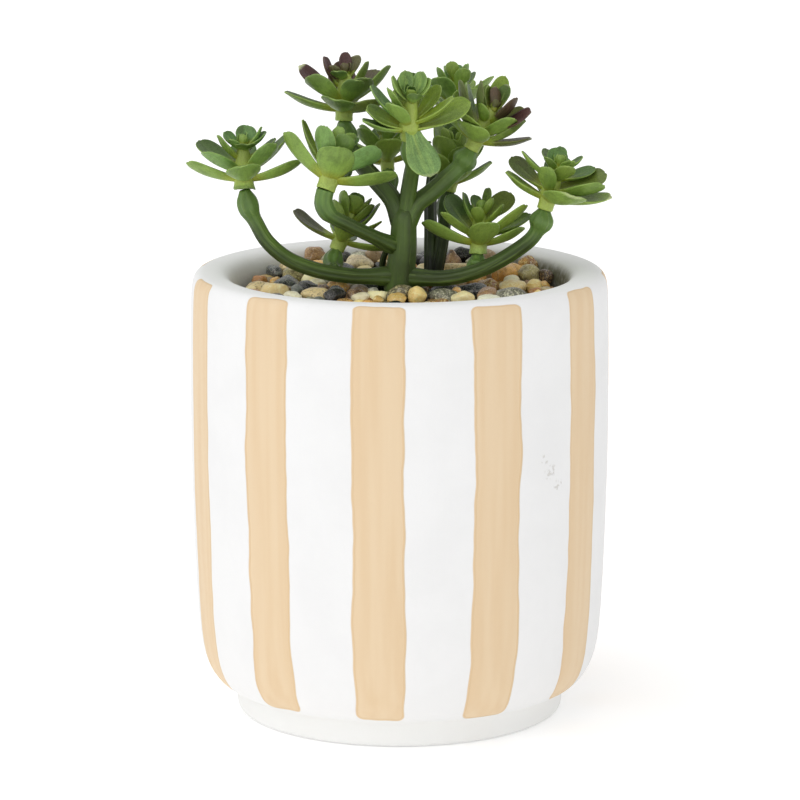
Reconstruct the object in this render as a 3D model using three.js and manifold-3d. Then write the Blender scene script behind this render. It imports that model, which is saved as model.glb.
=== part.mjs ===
// A small decorative succulent in a cast pot.
//
// The pot is a thick-walled cylinder with a rounded bottom edge and a narrower foot. A foam plug
// fills it nearly to the rim, a bed of pebbles lies on the plug, and two moulded green stems are
// pushed through the pebbles into plain holes in the plug. The stems branch, and each branch ends
// in a knuckle with a pin. A rosette of fleshy leaves is plugged on each pin: its neck has a blind
// bore, and whorls of leaves sit one above another round its core, turned against each other.
//
// Millimetres, +Z up. The origin is the centre of the pot's foot, on the surface it stands on.
// -Y is the front.

import * as THREE from "three";
import { mergeVertices } from "three/addons/utils/BufferGeometryUtils.js";
import Module from "manifold-3d";

const wasm = await Module();
wasm.setup();

// ---------------------------------------------------------------- driving dimensions

const POT_HEIGHT = 111;
const POT_RADIUS = 52; // widest, at mid height
const FOOT_RADIUS = 40.8;
const FOOT_HEIGHT = 6.8;
const CAVITY_RADIUS = 41;
const FLOOR_HEIGHT = 9; // top of the pot's floor
const POT_SIDES = 40;

const SEAT_GAP = 0.3; // between pieces that rest on or in each other
const PLUG_TOP = 100.3;
const BED_TOP = 105; // top of the bonded bed that the pebbles are sunk in
const BED_RADIUS = CAVITY_RADIUS - 0.4;

const PEBBLE_COUNT = 90;
const PEBBLE_SPREAD = 38.4; // radius of the spiral that places them
const PEBBLE_HALF_LENGTH = [3.1, 4.4];
const PEBBLE_CENTRE = 105.2;

const STEM_SIDES = 6;
const STEM_STEP = 4.2; // length of one segment
const STAKE_END = 78; // how low the stems reach in the plug
const PIN_RADIUS = 1.2; // at rosette size 1, as are the next three
const PIN_LENGTH = 2.6;

const NECK_LENGTH = 3.4; // from a rosette's seat to its lowest whorl
const NECK_RADIUS = 2.35;

// ---------------------------------------------------------------- materials

const finish = (color, roughness) => new THREE.MeshStandardMaterial({ color, roughness, metalness: 0 });
const MATT_WHITE = finish(0xf2f1ee, 0.75);
const FOAM_GREEN = finish(0x3c4a35, 0.95);
const PEBBLE_TAN = finish(0xa08763, 0.5);
const STEM_GREEN = finish(0x44703a, 0.5);
const LEAF_GREEN = finish(0x6f9a4a, 0.48);
const LEAF_PURPLE = finish(0x5d6a3c, 0.48);

// ---------------------------------------------------------------- solids

/** A closed three.js geometry as a solid that can be joined and cut. */
function solidOf(geometry) {
  const bare = new THREE.BufferGeometry();
  bare.setAttribute("position", geometry.getAttribute("position"));
  bare.setIndex(geometry.index);
  const merged = mergeVertices(bare, 1e-4);
  return new wasm.Manifold(
    new wasm.Mesh({
      numProp: 3,
      vertProperties: new Float32Array(merged.attributes.position.array),
      triVerts: new Uint32Array(merged.index.array),
    }),
  );
}

/** A solid as a three.js geometry. */
function geometryOf(solid) {
  const mesh = solid.getMesh();
  const geometry = new THREE.BufferGeometry();
  geometry.setAttribute("position", new THREE.BufferAttribute(mesh.vertProperties, 3));
  geometry.setIndex(new THREE.BufferAttribute(mesh.triVerts, 1));
  const faceted = geometry.toNonIndexed();
  faceted.computeVertexNormals();
  return faceted;
}

/** Joins a list of solids into one. */
const joined = (solids) => solids.reduce((whole, solid) => whole.add(solid));

/** The largest body of a solid, without scraps that joining or cutting left beside it. */
function mainBody(solid) {
  const bodies = solid.decompose();
  return bodies.reduce((largest, body) => (body.volume() > largest.volume() ? body : largest));
}

/** The closed skin through rings of points, each with the same count; the last may be one point. */
function loft(rings) {
  const triangles = [];
  const first = rings[0];
  const last = rings.at(-1);
  const sides = first.length;
  for (let i = 0; i + 1 < rings.length; i++) {
    for (let j = 0; j < sides; j++) {
      const next = (j + 1) % sides;
      const [a, b] = [rings[i][j], rings[i][next]];
      if (rings[i + 1].length === 1) {
        triangles.push(a, b, rings[i + 1][0]);
      } else {
        triangles.push(a, b, rings[i + 1][next], a, rings[i + 1][next], rings[i + 1][j]);
      }
    }
  }
  for (let j = 1; j + 1 < sides; j++) {
    triangles.push(first[0], first[j + 1], first[j]);
    if (last.length > 1) triangles.push(last[0], last[j], last[j + 1]);
  }
  return solidOf(new THREE.BufferGeometry().setFromPoints(triangles));
}

/** A round solid about Z from [radius, height] points that start and end on the axis. */
function turned(profile, sides) {
  const points = profile.map(([radius, height]) => new THREE.Vector2(radius, height));
  return solidOf(new THREE.LatheGeometry(points, sides).rotateX(Math.PI / 2));
}

/** The matrix that stands local Z along an axis at a place, with local X kept nearly on world X. */
function standing(place, axis) {
  const up = new THREE.Vector3(...axis).normalize();
  const side = new THREE.Vector3(1, 0, 0).addScaledVector(up, -up.x).normalize();
  const front = new THREE.Vector3().crossVectors(up, side);
  return new THREE.Matrix4().makeBasis(side, front, up).setPosition(...place);
}

/** A solid moved by a three.js matrix. */
const moved = (solid, matrix) => solid.transform([...matrix.elements]);

// ---------------------------------------------------------------- pot, plug and pebbles

/** The cast pot: narrower foot, rounded bottom edge, nearly straight wall, flat rim, deep cavity. */
function potSolid() {
  const profile = [
    [0, 0],
    [FOOT_RADIUS - 1, 0],
    [FOOT_RADIUS, 0.9],
    [FOOT_RADIUS + 0.3, FOOT_HEIGHT],
    [44.4, 7.5],
    [46.4, 9.2],
    [48.1, 11.8],
    [49.4, 15.3],
    [50.3, 20.5],
    [51, 32],
    [51.6, 50],
    [POT_RADIUS, 66],
    [POT_RADIUS, 86],
    [51.7, POT_HEIGHT - 5],
    [51.3, POT_HEIGHT - 1.6],
    [50.2, POT_HEIGHT - 0.3],
    [48.8, POT_HEIGHT],
    [45.2, POT_HEIGHT],
    [43.2, POT_HEIGHT - 0.6],
    [41.8, POT_HEIGHT - 2.2],
    [CAVITY_RADIUS, POT_HEIGHT - 5.5],
    [CAVITY_RADIUS, FLOOR_HEIGHT + 9],
    [38.4, FLOOR_HEIGHT + 3],
    [34, FLOOR_HEIGHT],
    [0, FLOOR_HEIGHT],
  ];
  return turned(profile, POT_SIDES);
}

/** The foam plug that fills the pot, with a plain hole for each stem's stake. */
function plugSolid(stakes) {
  const radius = CAVITY_RADIUS - 0.4;
  const profile = [
    [0, FLOOR_HEIGHT + SEAT_GAP],
    [33.6, FLOOR_HEIGHT + SEAT_GAP],
    [37.9, FLOOR_HEIGHT + 3.4],
    [radius, FLOOR_HEIGHT + 9.2],
    [radius, PLUG_TOP],
    [0, PLUG_TOP],
  ];
  return turned(profile, POT_SIDES).subtract(stakes);
}

/** A repeatable number from 0 to 1 for a counter, the same for the same counter and salt. */
function drawn(counter, salt) {
  const wave = Math.sin(counter * 12.9898 + salt * 78.233) * 43758.5453;
  return wave - Math.floor(wave);
}

/** Where pebble number i lies, how large it is and how it is turned. */
function pebbleAt(i) {
  const golden = Math.PI * (3 - Math.sqrt(5));
  const reach = PEBBLE_SPREAD * Math.sqrt((i + 0.6) / PEBBLE_COUNT);
  const angle = i * golden + (drawn(i, 1) - 0.5) * 0.12;
  const [shortest, longest] = PEBBLE_HALF_LENGTH;
  const length = shortest + (longest - shortest) * drawn(i, 2);
  return {
    x: reach * Math.cos(angle),
    y: reach * Math.sin(angle),
    half: [length, length * (0.7 + 0.2 * drawn(i, 3)), length * (0.5 + 0.16 * drawn(i, 4))],
    turn: drawn(i, 5) * Math.PI,
    tip: (drawn(i, 6) - 0.5) * 0.5,
  };
}

/** The height of a pebble's centre, lowered where a stem passes over it. */
function pebbleCentre(pebble, lowLines) {
  const top = PEBBLE_CENTRE + pebble.half[2];
  let ceiling = top;
  for (const { points, radius } of lowLines) {
    for (const point of points) {
      const aside = Math.hypot(point.x - pebble.x, point.y - pebble.y);
      if (aside < radius + pebble.half[1]) ceiling = Math.min(ceiling, point.z - radius - SEAT_GAP);
    }
  }
  return PEBBLE_CENTRE - (top - ceiling);
}

/** The bonded bed of pebbles, open round every stem. */
function pebbleBedSolid(lowLines, clearance) {
  const bed = turned(
    [
      [0, PLUG_TOP + SEAT_GAP],
      [BED_RADIUS, PLUG_TOP + SEAT_GAP],
      [BED_RADIUS, BED_TOP - 0.8],
      [0, BED_TOP],
    ],
    POT_SIDES,
  );
  const pebbles = [];
  for (let i = 0; i < PEBBLE_COUNT; i++) {
    const pebble = pebbleAt(i);
    const height = pebbleCentre(pebble, lowLines);
    if (height + pebble.half[2] < BED_TOP + 0.2) continue;
    const stone = new THREE.IcosahedronGeometry(1, 0);
    stone.scale(...pebble.half);
    stone.rotateX(pebble.tip);
    stone.rotateZ(pebble.turn);
    const reach = Math.hypot(pebble.x, pebble.y);
    const inward = Math.min(1, (BED_RADIUS - pebble.half[0]) / reach);
    stone.translate(pebble.x * inward, pebble.y * inward, height);
    pebbles.push(solidOf(stone));
  }
  return joined([bed, ...pebbles]).subtract(clearance);
}

// ---------------------------------------------------------------- stems

/** A branch: its centreline, its radius at each end, and the rosette that it carries, if any. */
const branch = (points, radii, carries = null) => ({ points, radii, carries });

/** The knuckle under a rosette: [distance back from the branch's end, radius]. */
const KNUCKLE = [
  [0, 2.05],
  [1.4, 2.6],
  [3.6, 3.0],
  [5.6, 2.75],
  [8.2, 1.95],
];

/** The radius that the knuckle gives at a distance back from the end, or 0 beyond it. */
function knuckleRadius(back) {
  for (let i = 0; i + 1 < KNUCKLE.length; i++) {
    const [near, nearRadius] = KNUCKLE[i];
    const [far, farRadius] = KNUCKLE[i + 1];
    if (back <= far) return THREE.MathUtils.mapLinear(back, near, far, nearRadius, farRadius);
  }
  return 0;
}

/** The centreline of a branch; one that carries a rosette runs on to just under its seat. */
function centreline({ points, carries }) {
  const through = points.map((point) => new THREE.Vector3(...point));
  if (carries) {
    const seat = new THREE.Vector3(...carries.seat);
    const axis = new THREE.Vector3(...carries.axis).normalize();
    through.push(seat.addScaledVector(axis, -SEAT_GAP));
  }
  return new THREE.CatmullRomCurve3(through, false, "centripetal");
}

/** A branch as a solid, with its knuckle and pin, grown all over by `extra`. */
function branchSolid(part, extra = 0) {
  const curve = centreline(part);
  const length = curve.getLength();
  const steps = Math.max(4, Math.round(length / STEM_STEP));
  const frames = curve.computeFrenetFrames(steps, false);
  const rings = [];
  for (let i = 0; i <= steps; i++) {
    const along = i / steps;
    const centre = curve.getPointAt(along).addScaledVector(frames.tangents[i], i === 0 ? -extra : 0);
    let radius = THREE.MathUtils.lerp(part.radii[0], part.radii[1], along);
    if (part.carries) radius = Math.max(radius, knuckleRadius(length * (1 - along)) * part.carries.size);
    const across = frames.normals[i];
    const axis = frames.tangents[i];
    if (part.carries && i === steps) {
      axis.set(...part.carries.axis).normalize();
      across.addScaledVector(axis, -across.dot(axis)).normalize();
    }
    const upright = new THREE.Vector3().crossVectors(axis, across);
    const ring = [];
    for (let j = 0; j < STEM_SIDES; j++) {
      const angle = (j / STEM_SIDES) * 2 * Math.PI;
      ring.push(
        centre
          .clone()
          .addScaledVector(across, (radius + extra) * Math.cos(angle))
          .addScaledVector(upright, (radius + extra) * Math.sin(angle)),
      );
    }
    rings.push(ring);
  }
  const body = loft(rings);
  return part.carries ? body.add(pinSolid(part.carries)) : body;
}

/** The pin that a rosette is pushed on, from inside the knuckle to above the seat. */
function pinSolid({ seat, axis, size }) {
  const profile = [
    [0, -1.5],
    [PIN_RADIUS * size, -1.5],
    [PIN_RADIUS * size, PIN_LENGTH * size],
    [0, PIN_LENGTH * size],
  ];
  return moved(turned(profile, 6), standing(seat, axis));
}

// ---------------------------------------------------------------- rosettes

/**
 * The whorls of a rosette from the lowest up: how many leaves each has, how far it is turned, how
 * far above the neck it sits, the length, width and thickness of its leaves, and how steeply they
 * rise at the root and at the tip. Angles are in degrees.
 */
const WHORLS = [
  { leaves: 4, turn: 0, lift: 0, length: 14, width: 8.4, thick: 1.7, rise: [8, 32] },
  { leaves: 4, turn: 45, lift: 2, length: 13.8, width: 8, thick: 1.7, rise: [20, 42] },
  { leaves: 4, turn: 0, lift: 4.4, length: 9.4, width: 6.2, thick: 1.5, rise: [40, 64] },
  { leaves: 4, turn: 45, lift: 6.4, length: 7.2, width: 4.8, thick: 1.3, rise: [50, 88] },
];

/** A leaf's outline: [share of the length, share of the width, share of the thickness]. */
const LEAF_STATIONS = [
  [0, 0.28, 0.8],
  [0.52, 0.84, 1],
  [0.86, 0.84, 0.7],
];
const LEAF_CUP = 0.16; // how far a leaf's edges stand above its middle, as a share of its width

/** A point on a leaf's midline, in the plane that leads outward and up from the core. */
function onMidline(length, rise, share) {
  const [from, to] = rise.map(THREE.MathUtils.degToRad);
  const angle = from + (to - from) * share;
  const bend = (to - from) / length;
  const out = (Math.sin(angle) - Math.sin(from)) / bend;
  const up = (Math.cos(from) - Math.cos(angle)) / bend;
  return { out, up, angle };
}

/** One fleshy leaf along +X from the core's axis: two raised edges and a keel below them. */
function leafSolid({ length, width, thick, rise }) {
  const rings = LEAF_STATIONS.map(([share, widthShare, thickShare]) => {
    const { out, up, angle } = onMidline(length, rise, share);
    const lean = new THREE.Vector3(-Math.sin(angle), 0, Math.cos(angle));
    const middle = new THREE.Vector3(out + 0.5, 0, up);
    const half = (width * widthShare) / 2;
    const cup = share > 0 ? width * widthShare * LEAF_CUP : 0;
    const at = (side, height) => middle.clone().addScaledVector(lean, height).setY(side);
    return [at(0, -thick * thickShare * 0.7), at(half, cup), at(-half, cup)];
  });
  const tip = onMidline(length, rise, 1);
  rings.push([new THREE.Vector3(tip.out + 0.5, 0, tip.up)]);
  return loft(rings);
}

/** A rosette about local Z from its seat: bored neck, tapering core and whorls of leaves. */
function rosetteSolid({ size, turn, drooping = null }) {
  const top = NECK_LENGTH + WHORLS.at(-1).lift + 0.8;
  const core = turned(
    [
      [0, 0],
      [NECK_RADIUS - 0.3, 0],
      [NECK_RADIUS, 0.5],
      [NECK_RADIUS - 0.1, NECK_LENGTH],
      [1.2, top],
      [0, top],
    ],
    6,
  );
  const solids = [core];
  for (const whorl of WHORLS) {
    for (let i = 0; i < whorl.leaves; i++) {
      const angle = turn + whorl.turn + (i * 360) / whorl.leaves;
      const hangs = whorl === WHORLS[0] && drooping?.leaf === i;
      const leaf = leafSolid(hangs ? { ...whorl, rise: drooping.rise } : whorl);
      const place = new THREE.Matrix4()
        .makeRotationZ(THREE.MathUtils.degToRad(angle))
        .setPosition(0, 0, NECK_LENGTH + whorl.lift);
      solids.push(moved(leaf, place));
    }
  }
  const grown = moved(joined(solids), new THREE.Matrix4().makeScale(size, size, size));
  const boreRadius = PIN_RADIUS * size + SEAT_GAP;
  const boreDepth = PIN_LENGTH * size + SEAT_GAP;
  const bore = turned(
    [
      [0, -1],
      [boreRadius, -1],
      [boreRadius, boreDepth],
      [0, boreDepth],
    ],
    6,
  );
  return grown.subtract(bore);
}

/** Every rosette: where its neck sits, which way it points, its size and how far it is turned. */
const ROSETTES = {
  far_left: { seat: [-38.2, -2, 130.9], axis: [-0.03, 0.2, 1], size: 0.97, turn: 0 },
  far_right: { seat: [35.6, -4, 126.5], axis: [0.3, 0.05, 1], size: 0.98, turn: 14 },
  mid_left: { seat: [-18.2, -10, 132.2], axis: [0.38, 0.3, 1], size: 0.97, turn: 2 },
  low_left: { seat: [-15.8, 7, 114.5], axis: [0.42, 0.2, 1], size: 0.94, turn: -12 },
  low_right: { seat: [19.4, 0.4, 114.6], axis: [0.05, 0.15, 1], size: 0.93, turn: 6 },
  top_left: { seat: [-13.8, 8, 146.7], axis: [0.04, 0.12, 1], size: 1, turn: -8 },
  top_centre: {
    seat: [2.1, -6, 144.2],
    axis: [0.06, -0.34, 1],
    size: 0.97,
    turn: 14,
    drooping: { leaf: 3, rise: [-30, -62] },
  },
  top_right: { seat: [17.6, 4, 140.2], axis: [0.52, 0.04, 1], size: 0.97, turn: 10 },
  top_back: { seat: [14, 28, 144.8], axis: [0.02, 0.25, 1], size: 0.84, turn: 20 },
  inner_back: { seat: [-2.9, 15, 133.2], axis: [-0.1, 0.3, 1], size: 0.74, turn: 10 },
  right_back: { seat: [12.2, 15.6, 128], axis: [0.22, 0.1, 1], size: 0.74, turn: 45 },
};
const PURPLE_ROSETTES = new Set(["top_left", "top_right"]);

// ---------------------------------------------------------------- the two stems

/** The stake that a stem is pushed into the plug by, up to where it spreads. */
const stake = (x, y, radii) =>
  branch(
    [
      [x, y, STAKE_END],
      [x, y, PLUG_TOP],
      [x, y, 107],
    ],
    radii,
  );

/** The front stem: a thick trunk that two long low arms and a crown of branches grow from. */
const FRONT_STEM = [
  stake(0, 0, [2.4, 3.9]),
  branch(
    [
      [0, 0, 106],
      [0, 0, 111],
      [0, 0, 121],
      [0.4, 0, 129],
    ],
    [4.1, 3.1],
  ),
  branch(
    [
      [-1.5, -0.5, 109.4],
      [-12, -1.6, 109.7],
      [-20.6, -2.4, 111.3],
      [-27.8, -2.8, 114.3],
      [-32.8, -2.6, 118.7],
      [-35.2, -2.2, 122.8],
      [-37, -2, 126.4],
    ],
    [2.1, 1.9],
    ROSETTES.far_left,
  ),
  branch(
    [
      [1.5, -0.5, 109.2],
      [12.2, -2, 109.3],
      [21.6, -3.2, 112.2],
      [29, -3.8, 116.6],
      [32.6, -4, 119.6],
      [34.4, -4, 122.6],
    ],
    [2.1, 1.9],
    ROSETTES.far_right,
  ),
  branch(
    [
      [-1.5, -1, 117],
      [-7.5, -5.4, 120.6],
      [-13, -8.6, 123.8],
      [-17.4, -10, 126.6],
      [-18.6, -10, 129.4],
    ],
    [1.9, 1.8],
    ROSETTES.mid_left,
  ),
  branch(
    [
      [0.2, 0, 126],
      [1.8, -2, 132.4],
      [2.1, -4.6, 139],
    ],
    [2.7, 2],
    ROSETTES.top_centre,
  ),
  branch(
    [
      [-0.4, 0, 124.5],
      [-4, 2.8, 130.4],
      [-8.4, 6, 135.6],
      [-12.4, 8, 140.4],
    ],
    [2.5, 1.9],
    ROSETTES.top_left,
  ),
  branch(
    [
      [0.8, 0, 125.5],
      [6.3, 2, 129.8],
      [12, 3.2, 134],
      [15.8, 4, 137.2],
    ],
    [2.3, 1.9],
    ROSETTES.top_right,
  ),
  branch(
    [
      [-1, 1, 127],
      [-2, 7, 128.4],
    ],
    [1.8, 1.5],
    ROSETTES.inner_back,
  ),
  branch(
    [
      [-16.4, -1.4, 110.7],
      [-16.6, 4, 111.6],
    ],
    [1.6, 1.5],
    ROSETTES.low_left,
  ),
  branch(
    [
      [18.8, -2.6, 111.2],
      [19.2, -0.6, 112.2],
    ],
    [1.6, 1.5],
    ROSETTES.low_right,
  ),
];

/** The back stem: two slender stalks from one stake. */
const BACK_STEM = [
  stake(8.4, 13, [2.4, 3.3]),
  branch(
    [
      [7.8, 13.2, 106],
      [7.8, 15.6, 117],
      [8, 24, 127],
      [10, 28.4, 137],
    ],
    [1.9, 1.6],
    ROSETTES.top_back,
  ),
  branch(
    [
      [9, 12.8, 106],
      [10.8, 13.4, 117],
    ],
    [1.9, 1.6],
    ROSETTES.right_back,
  ),
];

const stemSolid = (parts, extra) => mainBody(joined(parts.map((part) => branchSolid(part, extra))));

/** Points of the stems that run close above the pebbles, with the radius there. */
function lowLinesOf(parts) {
  return parts.map((part) => ({
    points: centreline(part)
      .getSpacedPoints(24)
      .filter((point) => point.z > PLUG_TOP && point.z < 114),
    radius: Math.max(...part.radii),
  }));
}

// ---------------------------------------------------------------- the object

/** A named mesh of a solid. */
function meshOf(name, solid, material) {
  const mesh = new THREE.Mesh(geometryOf(solid), material);
  mesh.name = name;
  return mesh;
}

const pottedSucculent = new THREE.Group();
const clearance = stemSolid(FRONT_STEM, SEAT_GAP).add(stemSolid(BACK_STEM, SEAT_GAP));

pottedSucculent.add(meshOf("pot", potSolid(), MATT_WHITE));
pottedSucculent.add(meshOf("foam_plug", plugSolid(clearance), FOAM_GREEN));
pottedSucculent.add(
  meshOf("pebble_bed", pebbleBedSolid(lowLinesOf([...FRONT_STEM, ...BACK_STEM]), clearance), PEBBLE_TAN),
);
pottedSucculent.add(meshOf("stem_front", stemSolid(FRONT_STEM), STEM_GREEN));
pottedSucculent.add(meshOf("stem_back", stemSolid(BACK_STEM), STEM_GREEN));

for (const [place, rosette] of Object.entries(ROSETTES)) {
  const material = PURPLE_ROSETTES.has(place) ? LEAF_PURPLE : LEAF_GREEN;
  const mesh = meshOf(`rosette_${place}`, rosetteSolid(rosette), material);
  mesh.applyMatrix4(standing(rosette.seat, rosette.axis));
  pottedSucculent.add(mesh);
}

export default pottedSucculent;
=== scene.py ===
import logging
import math
import random
from dataclasses import dataclass, field
from enum import Enum
from typing import ClassVar, Iterable, Sequence

import bmesh
import bpy
from mathutils import Matrix, Vector


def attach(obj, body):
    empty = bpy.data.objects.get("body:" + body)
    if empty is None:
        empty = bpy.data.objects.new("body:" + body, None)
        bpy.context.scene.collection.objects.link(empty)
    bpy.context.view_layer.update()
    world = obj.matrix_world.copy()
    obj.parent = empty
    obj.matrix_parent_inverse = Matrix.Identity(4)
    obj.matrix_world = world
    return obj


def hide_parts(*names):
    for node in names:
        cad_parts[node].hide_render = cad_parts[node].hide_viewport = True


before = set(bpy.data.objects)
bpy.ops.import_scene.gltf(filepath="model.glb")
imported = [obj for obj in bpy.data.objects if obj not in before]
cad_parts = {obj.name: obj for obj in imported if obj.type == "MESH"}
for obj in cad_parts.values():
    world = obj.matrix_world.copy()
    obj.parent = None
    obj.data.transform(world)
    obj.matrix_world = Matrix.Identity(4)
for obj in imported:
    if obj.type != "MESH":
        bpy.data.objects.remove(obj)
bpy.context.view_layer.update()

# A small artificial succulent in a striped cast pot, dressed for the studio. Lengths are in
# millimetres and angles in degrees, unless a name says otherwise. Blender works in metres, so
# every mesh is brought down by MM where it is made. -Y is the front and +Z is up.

log = logging.getLogger("succulent")

MM = 0.001
TURN = 2 * math.pi

Piece = bpy.types.Object
Socket = bpy.types.NodeSocket
Point = tuple[float, float, float]
Colour = tuple[float, float, float, float]
Feed = float | tuple[float, ...] | Socket
Taken = dict[str, Socket]


def paint(red: int, green: int, blue: int) -> Colour:
    """A colour in the linear values that shaders use.

    Args:
        red: As on a screen, from 0 to 255.
        green: The same.
        blue: The same.

    Returns:
        The colour, with full cover.
    """
    linear = [
        (c / 12.92 if c <= 0.04045 else ((c + 0.055) / 1.055) ** 2.4)
        for c in (red / 255, green / 255, blue / 255)
    ]
    return (*linear, 1.0)


def lerp(first: float, second: float, share: float) -> float:
    """The number that is `share` of the way from first to second."""
    return first + (second - first) * share


def eased(value: float, low: float, high: float) -> float:
    """0 below low, 1 above high, and a smooth rise between them."""
    share = min(1.0, max(0.0, (value - low) / (high - low)))
    return share * share * (3 - 2 * share)


# ------------------------------------------------------------------------ working on meshes


class Bench:
    """The few moves that every piece is modelled with."""

    @staticmethod
    def clear() -> None:
        """Deselects every object."""
        bpy.ops.object.select_all(action="DESELECT")

    @staticmethod
    def taken(name: str) -> Piece:
        """Names the object that the last operator added.

        Args:
            name: The piece's name.

        Returns:
            The named object.
        """
        piece = bpy.context.object
        piece.name = name
        piece.data.name = name
        return piece

    @staticmethod
    def only(piece: Piece) -> None:
        """Makes one piece the whole selection and the active object.

        Args:
            piece: The object.
        """
        Bench.clear()
        piece.select_set(True)
        bpy.context.view_layer.objects.active = piece

    @staticmethod
    def pick(piece: Piece, wanted: Iterable[int]) -> None:
        """Selects the vertices with the given numbers, in edit mode.

        Args:
            piece: The object that is being edited.
            wanted: Vertex numbers.
        """
        mesh = bmesh.from_edit_mesh(piece.data)
        mesh.verts.ensure_lookup_table()
        chosen = set(wanted)
        for number, vertex in enumerate(mesh.verts):
            vertex.select_set(number in chosen)
        mesh.select_flush_mode()
        bmesh.update_edit_mesh(piece.data, loop_triangles=False, destructive=False)

    @staticmethod
    def mode(name: str) -> None:
        """Goes to edit or object mode."""
        bpy.ops.object.mode_set(mode=name)

    @staticmethod
    def finish_with(piece: Piece, kind: str, **settings: object) -> None:
        """Adds a modifier to a piece and applies it.

        Args:
            piece: The object to change.
            kind: The modifier's type.
            **settings: The modifier's own properties.
        """
        Bench.only(piece)
        modifier = piece.modifiers.new("shaping", kind)
        for name, value in settings.items():
            setattr(modifier, name, value)
        bpy.ops.object.modifier_apply(modifier=modifier.name)

    @staticmethod
    def smoothed(piece: Piece, levels: int) -> None:
        """Applies a subdivision surface of some levels and shades the piece smooth."""
        Bench.finish_with(piece, "SUBSURF", levels=levels, render_levels=levels)
        bpy.ops.object.shade_smooth()

    @staticmethod
    def copy_of(piece: Piece, matrix: Matrix) -> Piece:
        """Copies a piece with a mesh of its own and puts the matrix into that mesh.

        Args:
            piece: The object to copy.
            matrix: Where the copy goes.

        Returns:
            The copy, itself at the origin.
        """
        copy = piece.copy()
        copy.data = piece.data.copy()
        copy.data.transform(matrix)
        bpy.context.scene.collection.objects.link(copy)
        return copy

    @staticmethod
    def joined(name: str, pieces: Sequence[Piece]) -> Piece:
        """Joins pieces into one object.

        Args:
            name: The joined piece's name.
            pieces: What goes into it.

        Returns:
            The joined piece.
        """
        Bench.only(pieces[0])
        for piece in pieces[1:]:
            piece.select_set(True)
        bpy.ops.object.join()
        return Bench.taken(name)

    @staticmethod
    def scrap(pieces: Iterable[Piece]) -> None:
        """Removes pieces that copies were made from."""
        for piece in pieces:
            bpy.data.objects.remove(piece)

    @staticmethod
    def spun(name: str, profile: Sequence[tuple[float, float]], steps: int) -> Piece:
        """Draws a wire along a profile and spins it about Z into a closed skin.

        Args:
            name: The piece's name.
            profile: Radius and height of each corner; the first and last are on the axis.
            steps: How many steps one turn takes.

        Returns:
            The new piece, with its faces pointing outwards.
        """
        Bench.clear()
        bpy.ops.mesh.primitive_plane_add(size=MM)
        piece = Bench.taken(name)
        Bench.mode("EDIT")
        bpy.ops.mesh.merge(type="CENTER")
        radius, height = profile[0]
        bpy.ops.transform.translate(value=(radius * MM, 0, height * MM))
        for (radius, height), (next_radius, next_height) in zip(profile, profile[1:]):
            step = ((next_radius - radius) * MM, 0, (next_height - height) * MM)
            bpy.ops.mesh.extrude_region_move(TRANSFORM_OT_translate={"value": step})
        bpy.ops.mesh.select_all(action="SELECT")
        bpy.ops.mesh.spin(steps=steps, angle=TURN, axis=(0, 0, 1), center=(0, 0, 0))
        bpy.ops.mesh.select_all(action="SELECT")
        bpy.ops.mesh.remove_doubles(threshold=1e-6)
        bpy.ops.mesh.normals_make_consistent(inside=False)
        Bench.mode("OBJECT")
        return piece

    @staticmethod
    def label(piece: Piece, name: str, values: Iterable[Iterable[float]]) -> None:
        """Stores three numbers on each vertex, for the materials to read.

        Args:
            piece: The object whose mesh gets them.
            name: The attribute's name.
            values: Three numbers for each vertex, in order.
        """
        layer = piece.data.attributes.get(name) or piece.data.attributes.new(
            name, "FLOAT_VECTOR", "POINT"
        )
        layer.data.foreach_set("vector", [number for value in values for number in value])


def standing(place: Point, axis: Point) -> Matrix:
    """The matrix that stands local Z along an axis, with local X kept nearly on world X.

    Args:
        place: Where the origin goes, in millimetres.
        axis: The direction that local Z takes.

    Returns:
        The matrix, in metres.
    """
    up = Vector(axis).normalized()
    side = (Vector((1, 0, 0)) - up * up.x).normalized()
    front = up.cross(side)
    matrix = Matrix((side, front, up)).transposed().to_4x4()
    matrix.translation = Vector(place) * MM
    return matrix


# --------------------------------------------------------------------------- wiring shaders


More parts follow.
